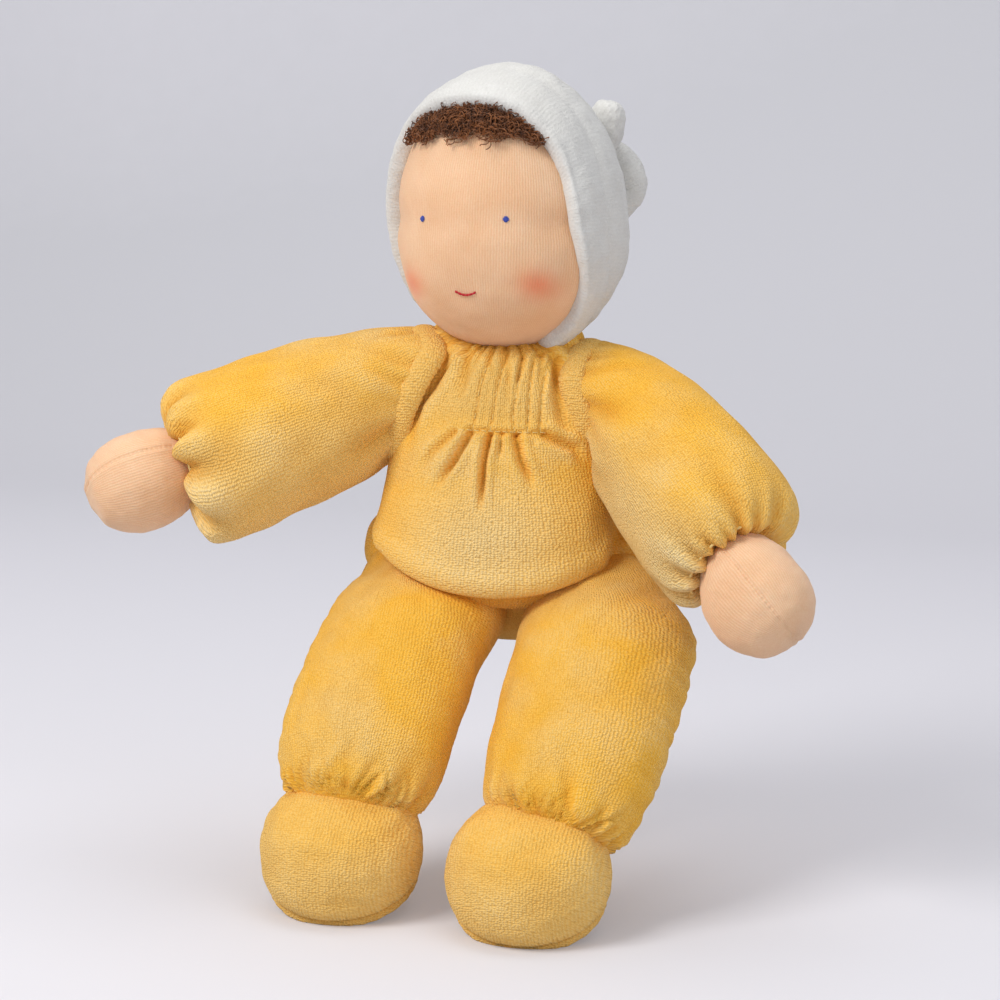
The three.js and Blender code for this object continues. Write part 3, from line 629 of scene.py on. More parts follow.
def body_folds(points):
    """How far the body's cloth stands out or in at each point."""
    x, y, z = points.T
    lines = [(path, 0.7, 1.0, 0.45, (0.02, 0.06)) for path in TUCKS]
    lines.append((BAR, 1.1, 1.2, 0.4, (0.05, 0.05)))
    lines += [(*pleat, 0.45, (0.04, 0.5)) for pleat in PLEATS]
    total = sum(crease(points[:, [0, 2]], *line) for line in lines)
    total = smooth(-y, 8, 22) * (total + 2.0 * bell(x - 4, 22) * bell(z - 78, 9))
    above_hem = z - (24.5 + 0.0055 * (x - 4) ** 2)
    total += smooth(-y, 22, 40) * (1.8 * bell(above_hem - 5, 5.5) - 4.5 * smooth(-above_hem, -1.5, 4))
    down = 126 - collar_drop(y) - z
    total += gathers(np.arctan2(y - NECK_Y, x), down, 30, 7, 1.4, 10) * (1 - smooth(down, 10, 26))
    for side in (-1, 1):
        hip = [(side * 47, 6, 58), (side * 52, -14, 54), (side * 52, -28, 44), (side * 47, -40, 33)]
        total += crease(points, hip, 2.6, 2.6, 0.4, (0.25, 0.1))
    return total + 0.5 * waves(points, 38, 3)


def build_body():
    obj = new_object("body", *body_skin())
    stuffed(obj, 3.2, 4.0, 3.0, 2)
    raised(obj, body_folds(points_of(obj)))
    centre = head_place().origin
    away = points_of(obj) - centre
    far = np.linalg.norm(away, axis=1, keepdims=True)
    points = centre + away * np.maximum(far, HEAD_DISH) / far
    points[:, 2] = np.maximum(points[:, 2], 0.1)
    set_points(obj, points)
    x, y, z = points.T
    belly = 0.9 * bell(x - 2, 34) * bell(z - 47, 24)
    kept(obj, "ruffled_and_sheen", smooth(-y, 20, 40) * (belly + 0.45 * smooth(z, 80, 100)))
    cloth_grain(obj, np.arctan2(x, NECK_Y - y), z, 42)
    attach(obj, "torso")
    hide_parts("body_cover", "body_stuffing")
    dress(obj, "velour")
    build_stitches(obj)
    ring = turns(97, True)
    y = NECK_Y + 19 * np.sin(ring)
    path = columns(26.5 * np.cos(ring), y, 118 - collar_drop(y))
    thread("collar_gather", [path], 0.5, "torso", "collar_thread")


def on_surface(obj, xz, lift):
    """The chest's outer points at (x, z) pairs, `lift` proud of the cloth."""
    found = []
    for x, z in xz:
        hit, point, normal, _ = obj.ray_cast(Vector((x * MM, -0.2, z * MM)), Vector((0, 1, 0)))
        if not hit:
            raise RuntimeError(f"no cloth at x {x}, z {z}")
        found.append(np.array(point + normal * lift * MM) / MM)
    return np.array(found)


def build_stitches(body):
    """The bar of stitches across the tucks, and the rows that hold them."""
    paths = []
    xs = np.linspace(-11.5, 21.5, 24)
    for a, b in zip(xs[:-1:2], xs[1::2]):
        paths.append(on_surface(body, [(a, 88.2), ((a + b) / 2, 88.1), (b + 0.5, 88.0)], 0.12))
    for path in TUCKS:
        line = through([(z, x) for x, z in path[::-1]], 15)
        for (z0, x0), (z1, x1) in zip(line[:-1:2], line[1::2]):
            stitch = [(x0, z0), ((x0 + x1) / 2, (z0 + z1) / 2), (x1, z1)]
            paths.append(on_surface(body, [(x, min(z, 112)) for x, z in stitch], -0.05))
    thread("tuck_stitches", paths, 0.2, "torso", "tuck_stitching")


# Armholes and sleeves

ARMHOLE = {  # degrees from straight up towards the front, radius, distance from the middle
    "right": [(0, 27, 33), (42, 28, 24), (58, 27, 27), (76, 25, 31), (98, 24, 35), (127, 25, 38),
              (143, 28, 40), (180, 29, 43), (225, 25, 36), (270, 22, 27), (315, 23, 28), (360, 27, 33)],
    "left": [(0, 24.5, 34), (29, 24, 30), (56, 22, 29), (73, 21, 30), (102, 21, 34), (133, 25, 36),
             (150, 29, 38), (180, 31, 42), (225, 25, 36), (270, 22, 27), (315, 22, 28), (360, 24.5, 34)],
}
RIDGE_SIDES = 20


def armhole_points(side, out, turn, grow, shift):
    """Points of the armhole at angles from straight up towards the front."""
    degrees, radii, reach = np.array(ARMHOLE[side], float).T
    at = np.degrees(turn) % 360
    radius = np.interp(at, degrees, radii) + grow
    x = out * (np.interp(at, degrees, reach) + shift)
    return columns(x, NECK_Y - radius * np.sin(turn), SHOULDER_HEIGHT + radius * np.cos(turn))


def build_armhole(side, out):
    """The ridged seam where the sleeve is set in."""
    turn = turns(240)
    loop = armhole_points(side, out, turn, -1.8, 1.0)
    for _ in range(14):
        loop = (np.roll(loop, 1, 0) + 2 * loop + np.roll(loop, -1, 0)) / 4
    ahead = units(np.roll(loop, -1, 0) - np.roll(loop, 1, 0))
    away = loop - loop.mean(0)
    away = units(away - (away * ahead).sum(1, keepdims=True) * ahead)
    across = np.cross(ahead, away)
    ring = turns(RIDGE_SIDES)
    rng = np.random.default_rng(11 if out > 0 else 12)
    slant = turn[:, None] + 0.035 * np.sin(ring)[None, :]
    ridge = sum(np.sin(n * slant + rng.uniform(0, 6.28)) / 3 for n in (43, 59, 71))
    swell = sum(np.sin(n * turn + rng.uniform(0, 6.28)) / 3 for n in (3, 5, 8))
    thick = (3.9 + 0.5 * swell[:, None] + 0.22 * ridge)[:, :, None]
    c, s = np.cos(ring)[None, :, None], np.sin(ring)[None, :, None]
    rings = loop[:, None] + thick * (0.75 * c * away[:, None] + 1.35 * s * across[:, None])
    number = np.arange(len(turn) * RIDGE_SIDES).reshape(-1, RIDGE_SIDES)
    obj = new_object(f"{side}_armhole_ridge", rings.reshape(-1, 3), quads(number, np.roll(number, -1, 0)))
    # Painted shade in the grooves between the ridges; the whole ridge takes a share of the paler pile.
    kept(obj, "fold", -0.6 * ridge.ravel(), -1, 3)
    kept(obj, "ruffled_and_sheen", np.full(ridge.size, 0.4))
    x, y, z = points_of(obj).T
    cloth_grain(obj, np.arctan2(z - SHOULDER_HEIGHT, y - NECK_Y), x, 28)
    bend(obj)
    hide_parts(f"{side}_armhole_seam")
    dress(obj, "velour")


SLEEVE_LENGTH = 97.0
SLEEVES = {  # share of the length, half height, half thickness, shift up
    "right": [(0.0, 28.5, 26, 1.2), (0.2, 31.8, 28, 1.6), (0.44, 34, 30, 0.8), (0.62, 35.4, 30.5, 0),
              (0.8, 36.8, 30.5, -1.2), (0.92, 36, 28.5, -2.0), (0.975, 31.2, 25, -1.6), (1.0, 21, 20.5, 0)],
    "left": [(0.0, 26, 26, 3), (0.2, 28.2, 28, 3.4), (0.38, 29.2, 30, 2.4), (0.5, 30.5, 31, 2.8),
             (0.66, 32.2, 31.5, 3.1), (0.83, 31.8, 30, 2.8), (0.94, 28.3, 26, 2), (1.0, 20.5, 20.5, 0)],
}
CUFF_FOLDS = {  # degrees round the cuff, depth, how far up the sleeve, half width in degrees
    "right": [(-184, 3.4, 11, 8), (-140, 4.4, 16, 9), (-105, 3.8, 12, 8), (-66, 2.6, 14, 7), (-25, 3, 18, 8),
              (20, 2.6, 14, 8), (58, 3, 16, 8), (100, 2.6, 13, 8), (140, 3, 15, 8)],
    "left": [(36, 2.4, 12, 7), (58, 3, 15, 7), (78, 4, 23, 7), (96, 2.2, 9, 5), (115, 3.2, 14, 6),
             (131, 3.2, 17, 6), (158, 2.6, 13, 7), (190, 2.8, 15, 8), (228, 2.6, 13, 8), (262, 3, 15, 8),
             (300, 2.6, 12, 8), (338, 2.8, 14, 8)],
}
SLEEVE_SHEEN = {  # painted sheen as paler pile; underside: share, from, to; and at the cuff: share, from
    "right": (0.5, 8, 28, 0.25, -22),
    "left": (0.85, 4, 26, 0.3, -26),
}


def cuff_folds(turn, back, folds):
    """The deep folds where the sleeve is drawn in at the wrist."""
    total = np.zeros(len(turn))
    for degrees, depth, reach, half in folds:
        up = np.maximum(back, 0) / reach
        off = wrapped(turn - math.radians(degrees))
        total += depth * bell(up, 1) * drawn_in(off, math.radians(half) * (1 + 0.5 * up), 0.42)
    return total


def sleeve_rings(side, out, place):
    """Rings from inside the armhole, along a curve out of the body, to inside the cuff."""
    lateral = np.array([out, 0, 0])
    _, lift, along = place.axes
    start = place.origin - lateral * 2
    end = place.origin + along * SLEEVE_LENGTH
    pull = 0.33 * SLEEVE_LENGTH
    control = np.array([start, start + unit(0.35 * lateral + 0.65 * along) * pull, end - along * pull, end])
    turn = turns(48)
    c, s = np.cos(turn)[:, None], np.sin(turn)[:, None]
    at_root = c * np.cross(lift, lateral) + s * lift
    root_turn = np.arctan2(-at_root[:, 1], at_root[:, 2])
    rings = [armhole_points(side, out, root_turn, -9, -6)]
    for t, (_, high, thick, shift) in zip(np.linspace(0, 1, 30), through(SLEEVES[side], 30)):
        centre = np.array([(1 - t)**3, 3 * (1 - t)**2 * t, 3 * (1 - t) * t**2, t**3]) @ control
        ahead = unit(np.array([(1 - t)**2, 2 * (1 - t) * t, t**2]) @ np.diff(control, axis=0))
        up = np.cross(lift, ahead)
        section = centre + shift * up + high * c * up + thick * s * lift
        root = armhole_points(side, out, root_turn, 0.5, 4 + t * 40)
        mix = smooth(t, 0.0, 0.34)
        rings.append((1 - mix) * root + mix * section)
    rings.append(place.out(columns(12 * np.cos(turn), 12 * np.sin(turn), SLEEVE_LENGTH - 5)))
    return np.stack(rings)


def build_sleeve(side, out):
    place = arm_place(side)
    obj = new_object(f"{side}_sleeve_cloth", *loft(sleeve_rings(side, out, place)))
    stuffed(obj, 3.0, 4.0, 3.0, 1)
    points = points_of(obj)
    local = place.into(points)
    x, y, z = local.T
    turn = np.arctan2(y, x)
    back = SLEEVE_LENGTH - z
    seed = 21 if out > 0 else 22
    heights = cuff_folds(turn, back, CUFF_FOLDS[side]) * smooth(back, -3, 3)
    heights += gathers(turn, back, 23, seed + 5, 0.8, 8) * smooth(back, -2, 3)
    root_turn = np.arctan2(NECK_Y - points[:, 1], points[:, 2] - SHOULDER_HEIGHT)
    from_root = np.abs(points[:, 0]) - 36
    heights += gathers(root_turn, from_root, 13, seed + 9, 1.7, 18) * (1 - smooth(from_root, 16, 34))
    heights += 0.9 * waves(local, 46, seed + 2) * smooth(back, 4, 30)
    raised(obj, heights)
    # Painted sheen: paler, tuftier pile on the sleeve's underside, which is turned from the key lamp, and next
    # to the cuff.
    under, low, high, cuff, near = SLEEVE_SHEEN[side]
    kept(obj, "ruffled_and_sheen", under * smooth(-x, low, high) + cuff * smooth(-back, near, -6))
    x, y, z = place.into(points_of(obj)).T
    cloth_grain(obj, np.arctan2(y, x), z, 33)
    bend(obj)
    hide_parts(f"{side}_sleeve", f"{side}_arm_stuffing")
    dress(obj, "velour")
    ring = turns(73, True)
    path = place.out(columns(19.4 * np.cos(ring), 19.4 * np.sin(ring), SLEEVE_LENGTH - 3.5))
    thread(f"{side}_cuff_elastic", [path], 0.6, f"{side}_arm", f"{side}_cuff_thread")


HAND_SEAM = {"right": -105.0, "left": 108.0}
HAND_DROP = {"right": -1.6, "left": -2.2}


def build_hand(side, out):
    place = arm_place(side)
    drop = HAND_DROP[side]
    keys = [[88, 8, 8, 0, 0], [92, 13.5, 13.5, 0, 0], [98, 17, 16.6, 0.3 * drop, 0],
            [104, 19.3, 18.6, 0.7 * drop, 0], [113, 20.4, 19.6, drop, 0], [121, 19.4, 18.6, drop, 0],
            [127.5, 16.2, 15.5, drop, 0], [132.5, 10.8, 10.3, drop, 0], [135, 4, 4, drop, 0]]
    points, faces = loft(sections(keys, 110, 180))
    x, y, z = points.T
    seam = math.radians(HAND_SEAM[side])
    off_seam = y * math.cos(seam) - x * math.sin(seam)
    stitches = 0.75 + 0.45 * np.sin(z * TURN / 1.9)
    seam_shape = 0.3 * bell(np.abs(off_seam) - 1.7, 1.1) - 0.55 * bell(off_seam, 0.55) * stitches
    heights = seam_shape * smooth(z, 92, 99) + 0.3 * waves(points, 16, 31 if out > 0 else 32)
    outward = units(points - [0, 0, 113])
    obj = new_object(f"{side}_hand_skin", place.out(points + outward * heights[:, None]), faces)
    x, y, z = place.into(points_of(obj)).T
    cloth_grain(obj, np.arctan2(y, x), z, 20)
    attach(obj, f"{side}_hand")
    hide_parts(f"{side}_hand", f"{side}_hand_stuffing")
    dress(obj, "skin_tricot")


# Legs and feet

LEGS = {  # along, half width, half depth, lean outwards, shift up
    "left": [[-19, 16, 9, 6, -5], [-12, 23, 14, 9, -6], [0, 29, 17.5, 13, -6.5], [8, 32.5, 20.5, 15.5, -4.5],
             [18, 35, 24, 17.5, -2], [32, 35.6, 25.5, 17.3, -0.3], [50, 35.4, 26, 15.6, 0],
             [66, 34.4, 25.5, 13.2, 0], [82, 32.5, 24, 11.2, 0], [94, 29.6, 21.5, 9.8, 0],
             [101, 27, 19.5, 8.2, 0], [105, 22, 15, 7, 0], [108, 14, 10, 6, 0], [110, 6, 5, 6, 0]],
    "right": [[-19, 16, 9, -2, -5], [-12, 23, 14, -2, -6], [0, 31, 17.5, -5, -6.5], [8, 34, 20.5, -5, -4.5],
              [18, 34.5, 24, -3, -2], [32, 33.8, 25.5, 1, -0.3], [50, 34, 26, 4, 0], [66, 33.8, 25.5, 5.9, 0],
              [80, 33, 24.2, 6.8, 0], [90, 30.8, 21.5, 7.8, 0], [97, 27.5, 19.5, 8.8, 0], [101, 22, 15, 9.5, 0],
              [104, 14, 10, 10, 0], [106, 6, 5, 10, 0]],
}
ANKLE_AT = {"left": 103.0, "right": 99.0}
ANKLE_SLANT = {"left": 0.2, "right": 0.08}


def build_leg(side, out):
    place = leg_place(side)
    middle_line = through(LEGS[side], 60)

    def aside(x, along):
        """How far x is from the middle of the leg, which leans."""
        return x - out * np.interp(along, middle_line[:, 0], middle_line[:, 3])

    points, faces = loft(sections(np.array(LEGS[side], float) * [1, 1, 1, out, 1], 52, 48, 2.12))
    slant = ANKLE_SLANT[side] * smooth(points[:, 2], 50, 98)
    points[:, 2] += slant * aside(points[:, 0], points[:, 2])
    obj = new_object(f"{side}_leg_cloth", place.out(points), faces)
    stuffed(obj, 3.0, 4.0, 2.5, 1)
    local = place.into(points_of(obj))
    x, y, z = local.T
    off = aside(x, z)
    turn = np.arctan2(y, off)
    ankle = ANKLE_AT[side]
    back = ankle - z + ANKLE_SLANT[side] * off
    seed = 41 if out > 0 else 42
    heights = gathers(turn, back, 42, seed, 1.4, 7) * smooth(back, -5, 0)
    heights += gathers(turn, back, 13, seed + 3, 1.1, 12) * smooth(back, -5, 2)
    heights += 0.8 * waves(local, 44, seed + 6) + 0.25 * waves(local, 12, seed + 7)
    pucker = (0.35 if out > 0 else 0.25) * np.sin(z * TURN / 8.5 + 1.3 * np.sin(z * 0.31))
    heights += smooth(off * out - 31, -6, 3) * (pucker + 0.3) * smooth(z, 8, 25)
    raised(obj, heights)
    x, y, z = place.into(points_of(obj)).T
    cloth_grain(obj, np.arctan2(x - out * 6, -y), z, 32)
    bend(obj)
    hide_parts(f"{side}_leg", f"{side}_leg_stuffing")
    dress(obj, "velour")
    ring = turns(73, True)
    x, y = 19 * np.cos(ring), 11 * np.sin(ring)
    path = place.out(columns(x - aside(0, ankle), y, ankle + 2 + ANKLE_SLANT[side] * x))
    thread(f"{side}_ankle_gather", [path], 0.5, f"{side}_leg", f"{side}_ankle_thread")


FLOOR = -92.5
SOLE = -36.0
FOOT_MIDDLE = -10.0
FOOT_TILT = math.radians(22)
FOOT_SHIFT = {"left": (0.8, -11.0, -2.8), "right": (-11.2, -4.5, -1.8)}
SOLE_RINGS = [(0.25, 0.4), (0.6, 0.3), (0.85, 0.7), (0.95, 1.9), (0.985, 3.3)]
FOOT_RINGS = [  # height over the sole, half width, half length, middle
    (4.6, 28.4, 29.6, -10), (8, 30.2, 31.4, -10), (15, 31.2, 32.3, -10), (22, 30.6, 31, -9.6),
    (30, 27.4, 27, -8.8), (36.5, 21, 20.5, -7.6), (41, 10, 10, -6.6),
]


def foot_place(side):
    """Origin at the ankle, turned toes down as the foot rests."""
    c, s = math.cos(FOOT_TILT), math.sin(FOOT_TILT)
    origin = place_of(f"{side}_foot_flex")
    origin[0] = place_of(f"{side}_leg_swing")[0]
    return Place(origin + FOOT_SHIFT[side], [1, 0, 0], [0, c, s], [0, -s, c])


def build_foot(side, out):
    place = foot_place(side)
    top = sections([(SOLE + high, wide, long, 0, y) for high, wide, long, y in FOOT_RINGS], 28, 72, 2.03)
    middle = np.array([0, FOOT_MIDDLE, SOLE])
    under = []
    for share, height in SOLE_RINGS:
        ring = middle + (top[0] - middle) * [share, share, 0]
        ring[:, 2] = SOLE + height
        under.append(ring)
    obj = new_object(f"{side}_foot_cloth", *loft(np.stack([*under, *top])))
    finer(obj, 1)
    local = points_of(obj)
    x, y, z = local.T
    y = y - FOOT_MIDDLE
    seed = 51 if out > 0 else 52
    turn = np.arctan2(y, x)
    over_seam = z - (SOLE + 4.8)
    edge = smooth(np.hypot(x / 29, y / 30), 0.82, 0.94)
    lip = edge * bell(over_seam + 2.0, 1.5) * (1.2 + 0.12 * np.sin(29 * turn + 2 * np.sin(5 * turn)))
    depths = -1.5 * edge * bell(over_seam, 0.8)
    depths += 0.8 * waves(local, 30, seed) * smooth(over_seam, 2, 12)
    depths += 0.2 * waves(local, 9, seed + 4) * smooth(over_seam, -4, 2)
    raised(obj, depths + lip, depths)
    kept(obj, "ruffled_and_sheen", 0.25 + 0.25 * smooth(np.hypot(x, y), 20, 31))
    x, y, z = points_of(obj).T
    cloth_grain(obj, x, (z + y) * 0.8)
    points = place.out(points_of(obj))
    points[:, 2] = np.maximum(points[:, 2], FLOOR + 0.1)
    set_points(obj, points)
    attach(obj, f"{side}_foot")
    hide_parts(f"{side}_foot_upper", f"{side}_foot_sole", f"{side}_foot_stuffing")
    dress(obj, "velour")


# Head and face

HEAD_RADIUS = 44.0
CROWN_RISE = 62.0
EYES = [("right_eye", -19.0, 6.0), ("left_eye", 16.4, 7.1)]
CHEEKS = [(-26.4, -19.8), (27.3, -17.9)]
NECK = [(94, 13), (97, 16.5), (104, 16.8), (107, 15.4), (110, 16.8), (117, 16.5), (118.5, 14)]


def head_surface(directions, proud=0.0):
    """Points of the head ball along directions from its centre."""
    d = units(directions)
    rise = np.where(d[:, 2] < 0, HEAD_RADIUS + 2.4, CROWN_RISE)
    far = 1 / np.sqrt((d[:, 0]**2 + d[:, 1]**2) / HEAD_RADIUS**2 + (d[:, 2] / rise) ** 2)
    points = d * far[:, None]
    x, y, z = points.T
    jaw = 1.5 * sum(bell(x - s * 24, 13) for s in (-1, 1)) * bell(z + 19, 13)
    chin = 0.8 * bell(x, 12) * bell(z + 33, 8)
    eye_line = 1.3 * bell(z - 5, 5.5) * (0.35 + 0.65 * smooth(np.abs(x), 16, 38))
    swell = smooth(-y, -10, 25) * (jaw + chin) - eye_line
    aside = 2.3 * bell(z + 12, 26) + 0.8 * smooth(x, 20, 40) * bell(z + 18, 14)
    return points + d * (swell + proud)[:, None] + aside[:, None] * [1, 0, 0]


def face_point(x, z, proud=0.0):
    """The face's point straight behind (x, z) in the head's own frame."""
    y = -math.sqrt(max(HEAD_RADIUS**2 - x * x - (z * (HEAD_RADIUS / CROWN_RISE if z > 0 else 1)) ** 2, 1))
    for _ in range(6):
        p = head_surface(np.array([[x, y, z]]), proud)[0]
        y = p[1] + ((p[0] - x) * x + (p[2] - z) * z) / min(y, -1)
    return np.array([x, y, z])


def build_head():
    place = head_place()
    points, faces = egg((0, 0, 0), (1, 1, 1), 144, 112)
    local = head_surface(points)
    local += units(local) * 0.22 * waves(local, 17, 61)[:, None]
    obj = new_object("head_skin", place.out(local), faces)
    x, y, z = local.T
    blush = sum(bell(x - at, 6.2) * bell(z - height, 5.6) for at, height in CHEEKS)
    kept(obj, "blush", 0.85 * blush * smooth(-y, 0, 15))
    x, y, z = place.into(points_of(obj)).T
    cloth_grain(obj, np.arctan2(x, -y), z, HEAD_RADIUS)
    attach(obj, "head")
    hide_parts("head_cover", "head_stuffing", "eye_line_thread")
    dress(obj, "skin_tricot")


def build_neck():
    obj = new_object("neck_skin", *loft(sections([(z, r, r, -2, NECK_Y) for z, r in NECK], 40, 48)))
    x, y, z = points_of(obj).T
    cloth_grain(obj, np.arctan2(x + 2, NECK_Y - y), z, 17)
    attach(obj, "neck")
    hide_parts("neck_tube", "neck_stuffing")
    dress(obj, "skin_tricot")


def dab(centre, across, up, radius, count):
    """Short satin stitches laid side by side into a dot."""
    paths = []
    steps = np.linspace(-1, 1, 7)[:, None]
    for off in np.linspace(-1, 1, count):
        half = radius * math.sqrt(max(1 - 0.85 * off * off, 0.05))
        middle = centre + across * off * radius * 0.78
        paths.append(middle + up * steps * half + unit(centre) * (0.28 * (1 - steps**2) - 0.05))
    return paths


def build_face():
    place = head_place()
    for name, x, z in EYES:
        centre = face_point(x, z, 0.1)
        bow = unit(centre * [1, 1, 0.55])
        across = -unit(np.cross([0, 0, 1], bow))
        up = -np.cross(bow, across)
        paths = [place.out(path) for path in dab(centre, across, up, 1.1, 5)]
        thread(f"{name}_stitches", paths, 0.29, "head", name, "eye_thread")
    paths = []
    for ply in (0, math.pi):
        path = []
        for s in np.linspace(-1, 1, 25):
            base = face_point(-0.2 + 4.3 * s, -21.3 - 1.3 * (1 - s * s), 0.25)
            path.append(base + 0.22 * np.array([0, math.cos(9 * s + ply), math.sin(9 * s + ply)]))
        paths.append(place.out(path))
    thread("mouth_stitches", paths, 0.27, "head", "mouth_stitch", "mouth_thread")


def build_hair():
    """Curled yarn caught down along the brow, under the hood's edge."""
    place = head_place()
    rng = np.random.default_rng(77)
    paths = []
    t = np.linspace(0, 1, 26)[:, None]
    for _ in range(1500):
        x = rng.uniform(-32, 29)
        brow = 38.0 - 0.003 * x * x + 1.3 * math.sin(0.42 * x + 0.6) + rng.normal(0, 0.7)
        z = brow + rng.uniform(0, 1) ** 0.8 * min(16, 53 - 0.009 * x * x - brow)
        root = face_point(x, z, rng.uniform(0.2, 2.6))
        heading = rng.uniform(0, TURN)
        out = unit(root)
        ahead = unit(np.cross(out, [math.cos(heading), 0.2, math.sin(heading)]))
        curl = rng.uniform(0.5, 1.9)
        length = rng.uniform(3, 11)
        wind = TURN * rng.uniform(1.2, 3) * t
        paths.append(place.out(root + ahead * (t - 0.5) * length + np.cross(out, ahead) * curl * np.sin(wind)
                               + out * curl * (1 + np.cos(wind)) * 0.8))
    thread("hair_curls", paths, 0.2, "head", "hair_tuft", "hair_boucle", 4)


# Hood

HOOD_THICK = 4.6
HOOD_ROLL = 8.6
KNOT_AT = (25.0, 49.0, 15.0)
KNOT_LOBE = [  # x, y, z, half width
    (20, 50, 37, 4), (24, 53, 32, 8.5), (29, 55, 26, 11), (33, 54.5, 18, 10.5), (30.5, 51, 9, 7),
    (26, 47, 3, 3),
]
KNOT_END = [
    (21, 50, 32, 6), (24, 46, 37, 8), (27, 42.5, 42.5, 8.5), (28.5, 40.5, 48, 8), (29, 40, 53, 5.5),
]


def hood_far(d):
    """Distance from the head's centre to the hood's outside along directions."""
    x, y, z = d.T
    down = smooth(-z, 0.0, 0.75)
    side = 49.5 + 0.5 * down
    back = 6.5 * smooth(y, -0.2, 0.8) * (1 - 0.75 * down)
    rise = np.where(z < 0, 50.0, CROWN_RISE + 5.0)
    return 1 / np.sqrt((x / side) ** 2 + (y / (side + back)) ** 2 + (z / rise) ** 2)


def hood_edge(degrees):
    """How far behind the middle of the head the edge is, at angles from the crown to the doll's left."""
    brow = -30
    left = 3 * smooth(degrees, 0, 45) + 20 * smooth(degrees, 75, 160) + 19 * smooth(degrees, 150, 180)
    right = 23 * smooth(-degrees, 0, 75) + 19 * smooth(-degrees, 40, 150)
    return brow + left + right


def hood_rings():
    """Rings from the back of the hood to its rolled edge, round that, and back along the inside."""
    around = turns(240)
    edge = hood_edge(np.degrees(wrapped(around)))
    for _ in range(12):
        edge = (np.roll(edge, 1) + edge + np.roll(edge, -1)) / 3

    def direction(back):
        return columns(np.sin(back) * np.sin(around), np.cos(back), np.sin(back) * np.cos(around))

    low, high = np.full(240, 0.3), np.full(240, 3.0)
    for _ in range(30):
        reach = (low + high) / 2
        d = direction(reach)
        inside = hood_far(d) * d[:, 1] > edge
        low, high = np.where(inside, reach, low), np.where(inside, high, reach)
    rings = []
    for step in np.linspace(0.02, 1, 90):
        d = direction(reach * step)
        proud = 1.6 * smooth(step, 0.86, 0.97) - 0.9 * bell(step - 0.84, 0.025)
        rings.append(d * (hood_far(d) + proud)[:, None])
    rim = rings[-1]
    for angle in np.linspace(0, math.pi, 11)[1:-1]:
        inward = units(rim) * HOOD_ROLL / 2 * (1 - math.cos(angle))
        rings.append(rim - inward - np.array([0, 3.2, 0]) * math.sin(angle))
    for step in np.linspace(0.995, 0.05, 28):
        d = direction(reach * step)
        thin = (HOOD_ROLL - HOOD_THICK - 2.2) * smooth(step, 0.93, 0.995)
        rings.append(d * (hood_far(d) - HOOD_THICK - thin)[:, None])
    return np.stack(rings)


def finish_hood(obj, node):
    """Lays the terry on a piece of the hood, which is still in the head's own frame, and sets it in place."""
    points = points_of(obj)
    x, y, z = points.T
    cloth_grain(obj, np.arctan2(x, z), y, 50)
    set_points(obj, head_place().out(points))
    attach(obj, "head")
    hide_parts(node)
    dress(obj, "hood_terry")


def build_hood():
    obj = new_object("hood_cloth", *loft(hood_rings()))
    points = points_of(obj)
    rng = np.random.default_rng(88)
    heights = 0.7 * waves(points, 36, 81) + 0.25 * waves(points, 9, 82)
    for i in range(11):
        turn = TURN * (i + rng.uniform(-0.3, 0.3)) / 11
        reach = rng.uniform(22, 42)
        share = np.linspace(0.2, 1, 8)[:, None]
        d = units(KNOT_AT + reach * share * columns(math.cos(turn), -0.25 * share[:, 0], math.sin(turn)))
        heights += crease(points, d * hood_far(d)[:, None], 2.0, 1.7, 0.5, (0.05, 0.6))
    outside = np.linalg.norm(points, axis=1) > 46.5
    raised(obj, np.where(outside, heights, 0.3 * heights), heights)
    finish_hood(obj, "hood")


def build_knot(name, node, keys, flat, voxel, folds):
    """A stuffed-looking end of the knot round its keys."""
    rows = through([(i, *key) for i, key in enumerate(keys)], 18)[:, 1:]
    c, s = np.cos(turns(40))[:, None], np.sin(turns(40))[:, None]
    rings = []
    for row, way in zip(rows, units(np.gradient(rows[:, :3], axis=0))):
        outward = unit(row[:3] * [1, 1, 0.4])
        outward = unit(outward - way * (outward @ way))
        rings.append(row[:3] + row[3] * (c * np.cross(way, outward) + flat * s * outward))
    obj = new_object(name, *loft(np.stack(rings)))
    stuffed(obj, voxel, 0, 0, 1)
    raised(obj, folds(points_of(obj)))
    finish_hood(obj, node)


# Settings

def length(name, description, default):
    return bpy.props.FloatProperty(name=name, description=description, default=default, unit="LENGTH")


def tone(name, description, code):
    return bpy.props.FloatVectorProperty(
        name=name, description=description, default=linear(code), subtype="COLOR", size=3)


class DollSizes(bpy.types.PropertyGroup):
    """Sizes of the doll's cloth, in metres"""

    # Real velour is finer than these two, which are drawn coarser so that the tufts show.
    velour_wale: length("Velour wale", "Distance between the velour's knitted rows", 0.00125)
    velour_course: length("Velour course", "Distance between tufts along a row of the velour", 0.0009)
    tricot_wale: length("Tricot wale", "Distance between the skin tricot's wales", 0.0011)
    terry_rib: length("Terry rib", "Distance between the hood's ribs", 0.0015)


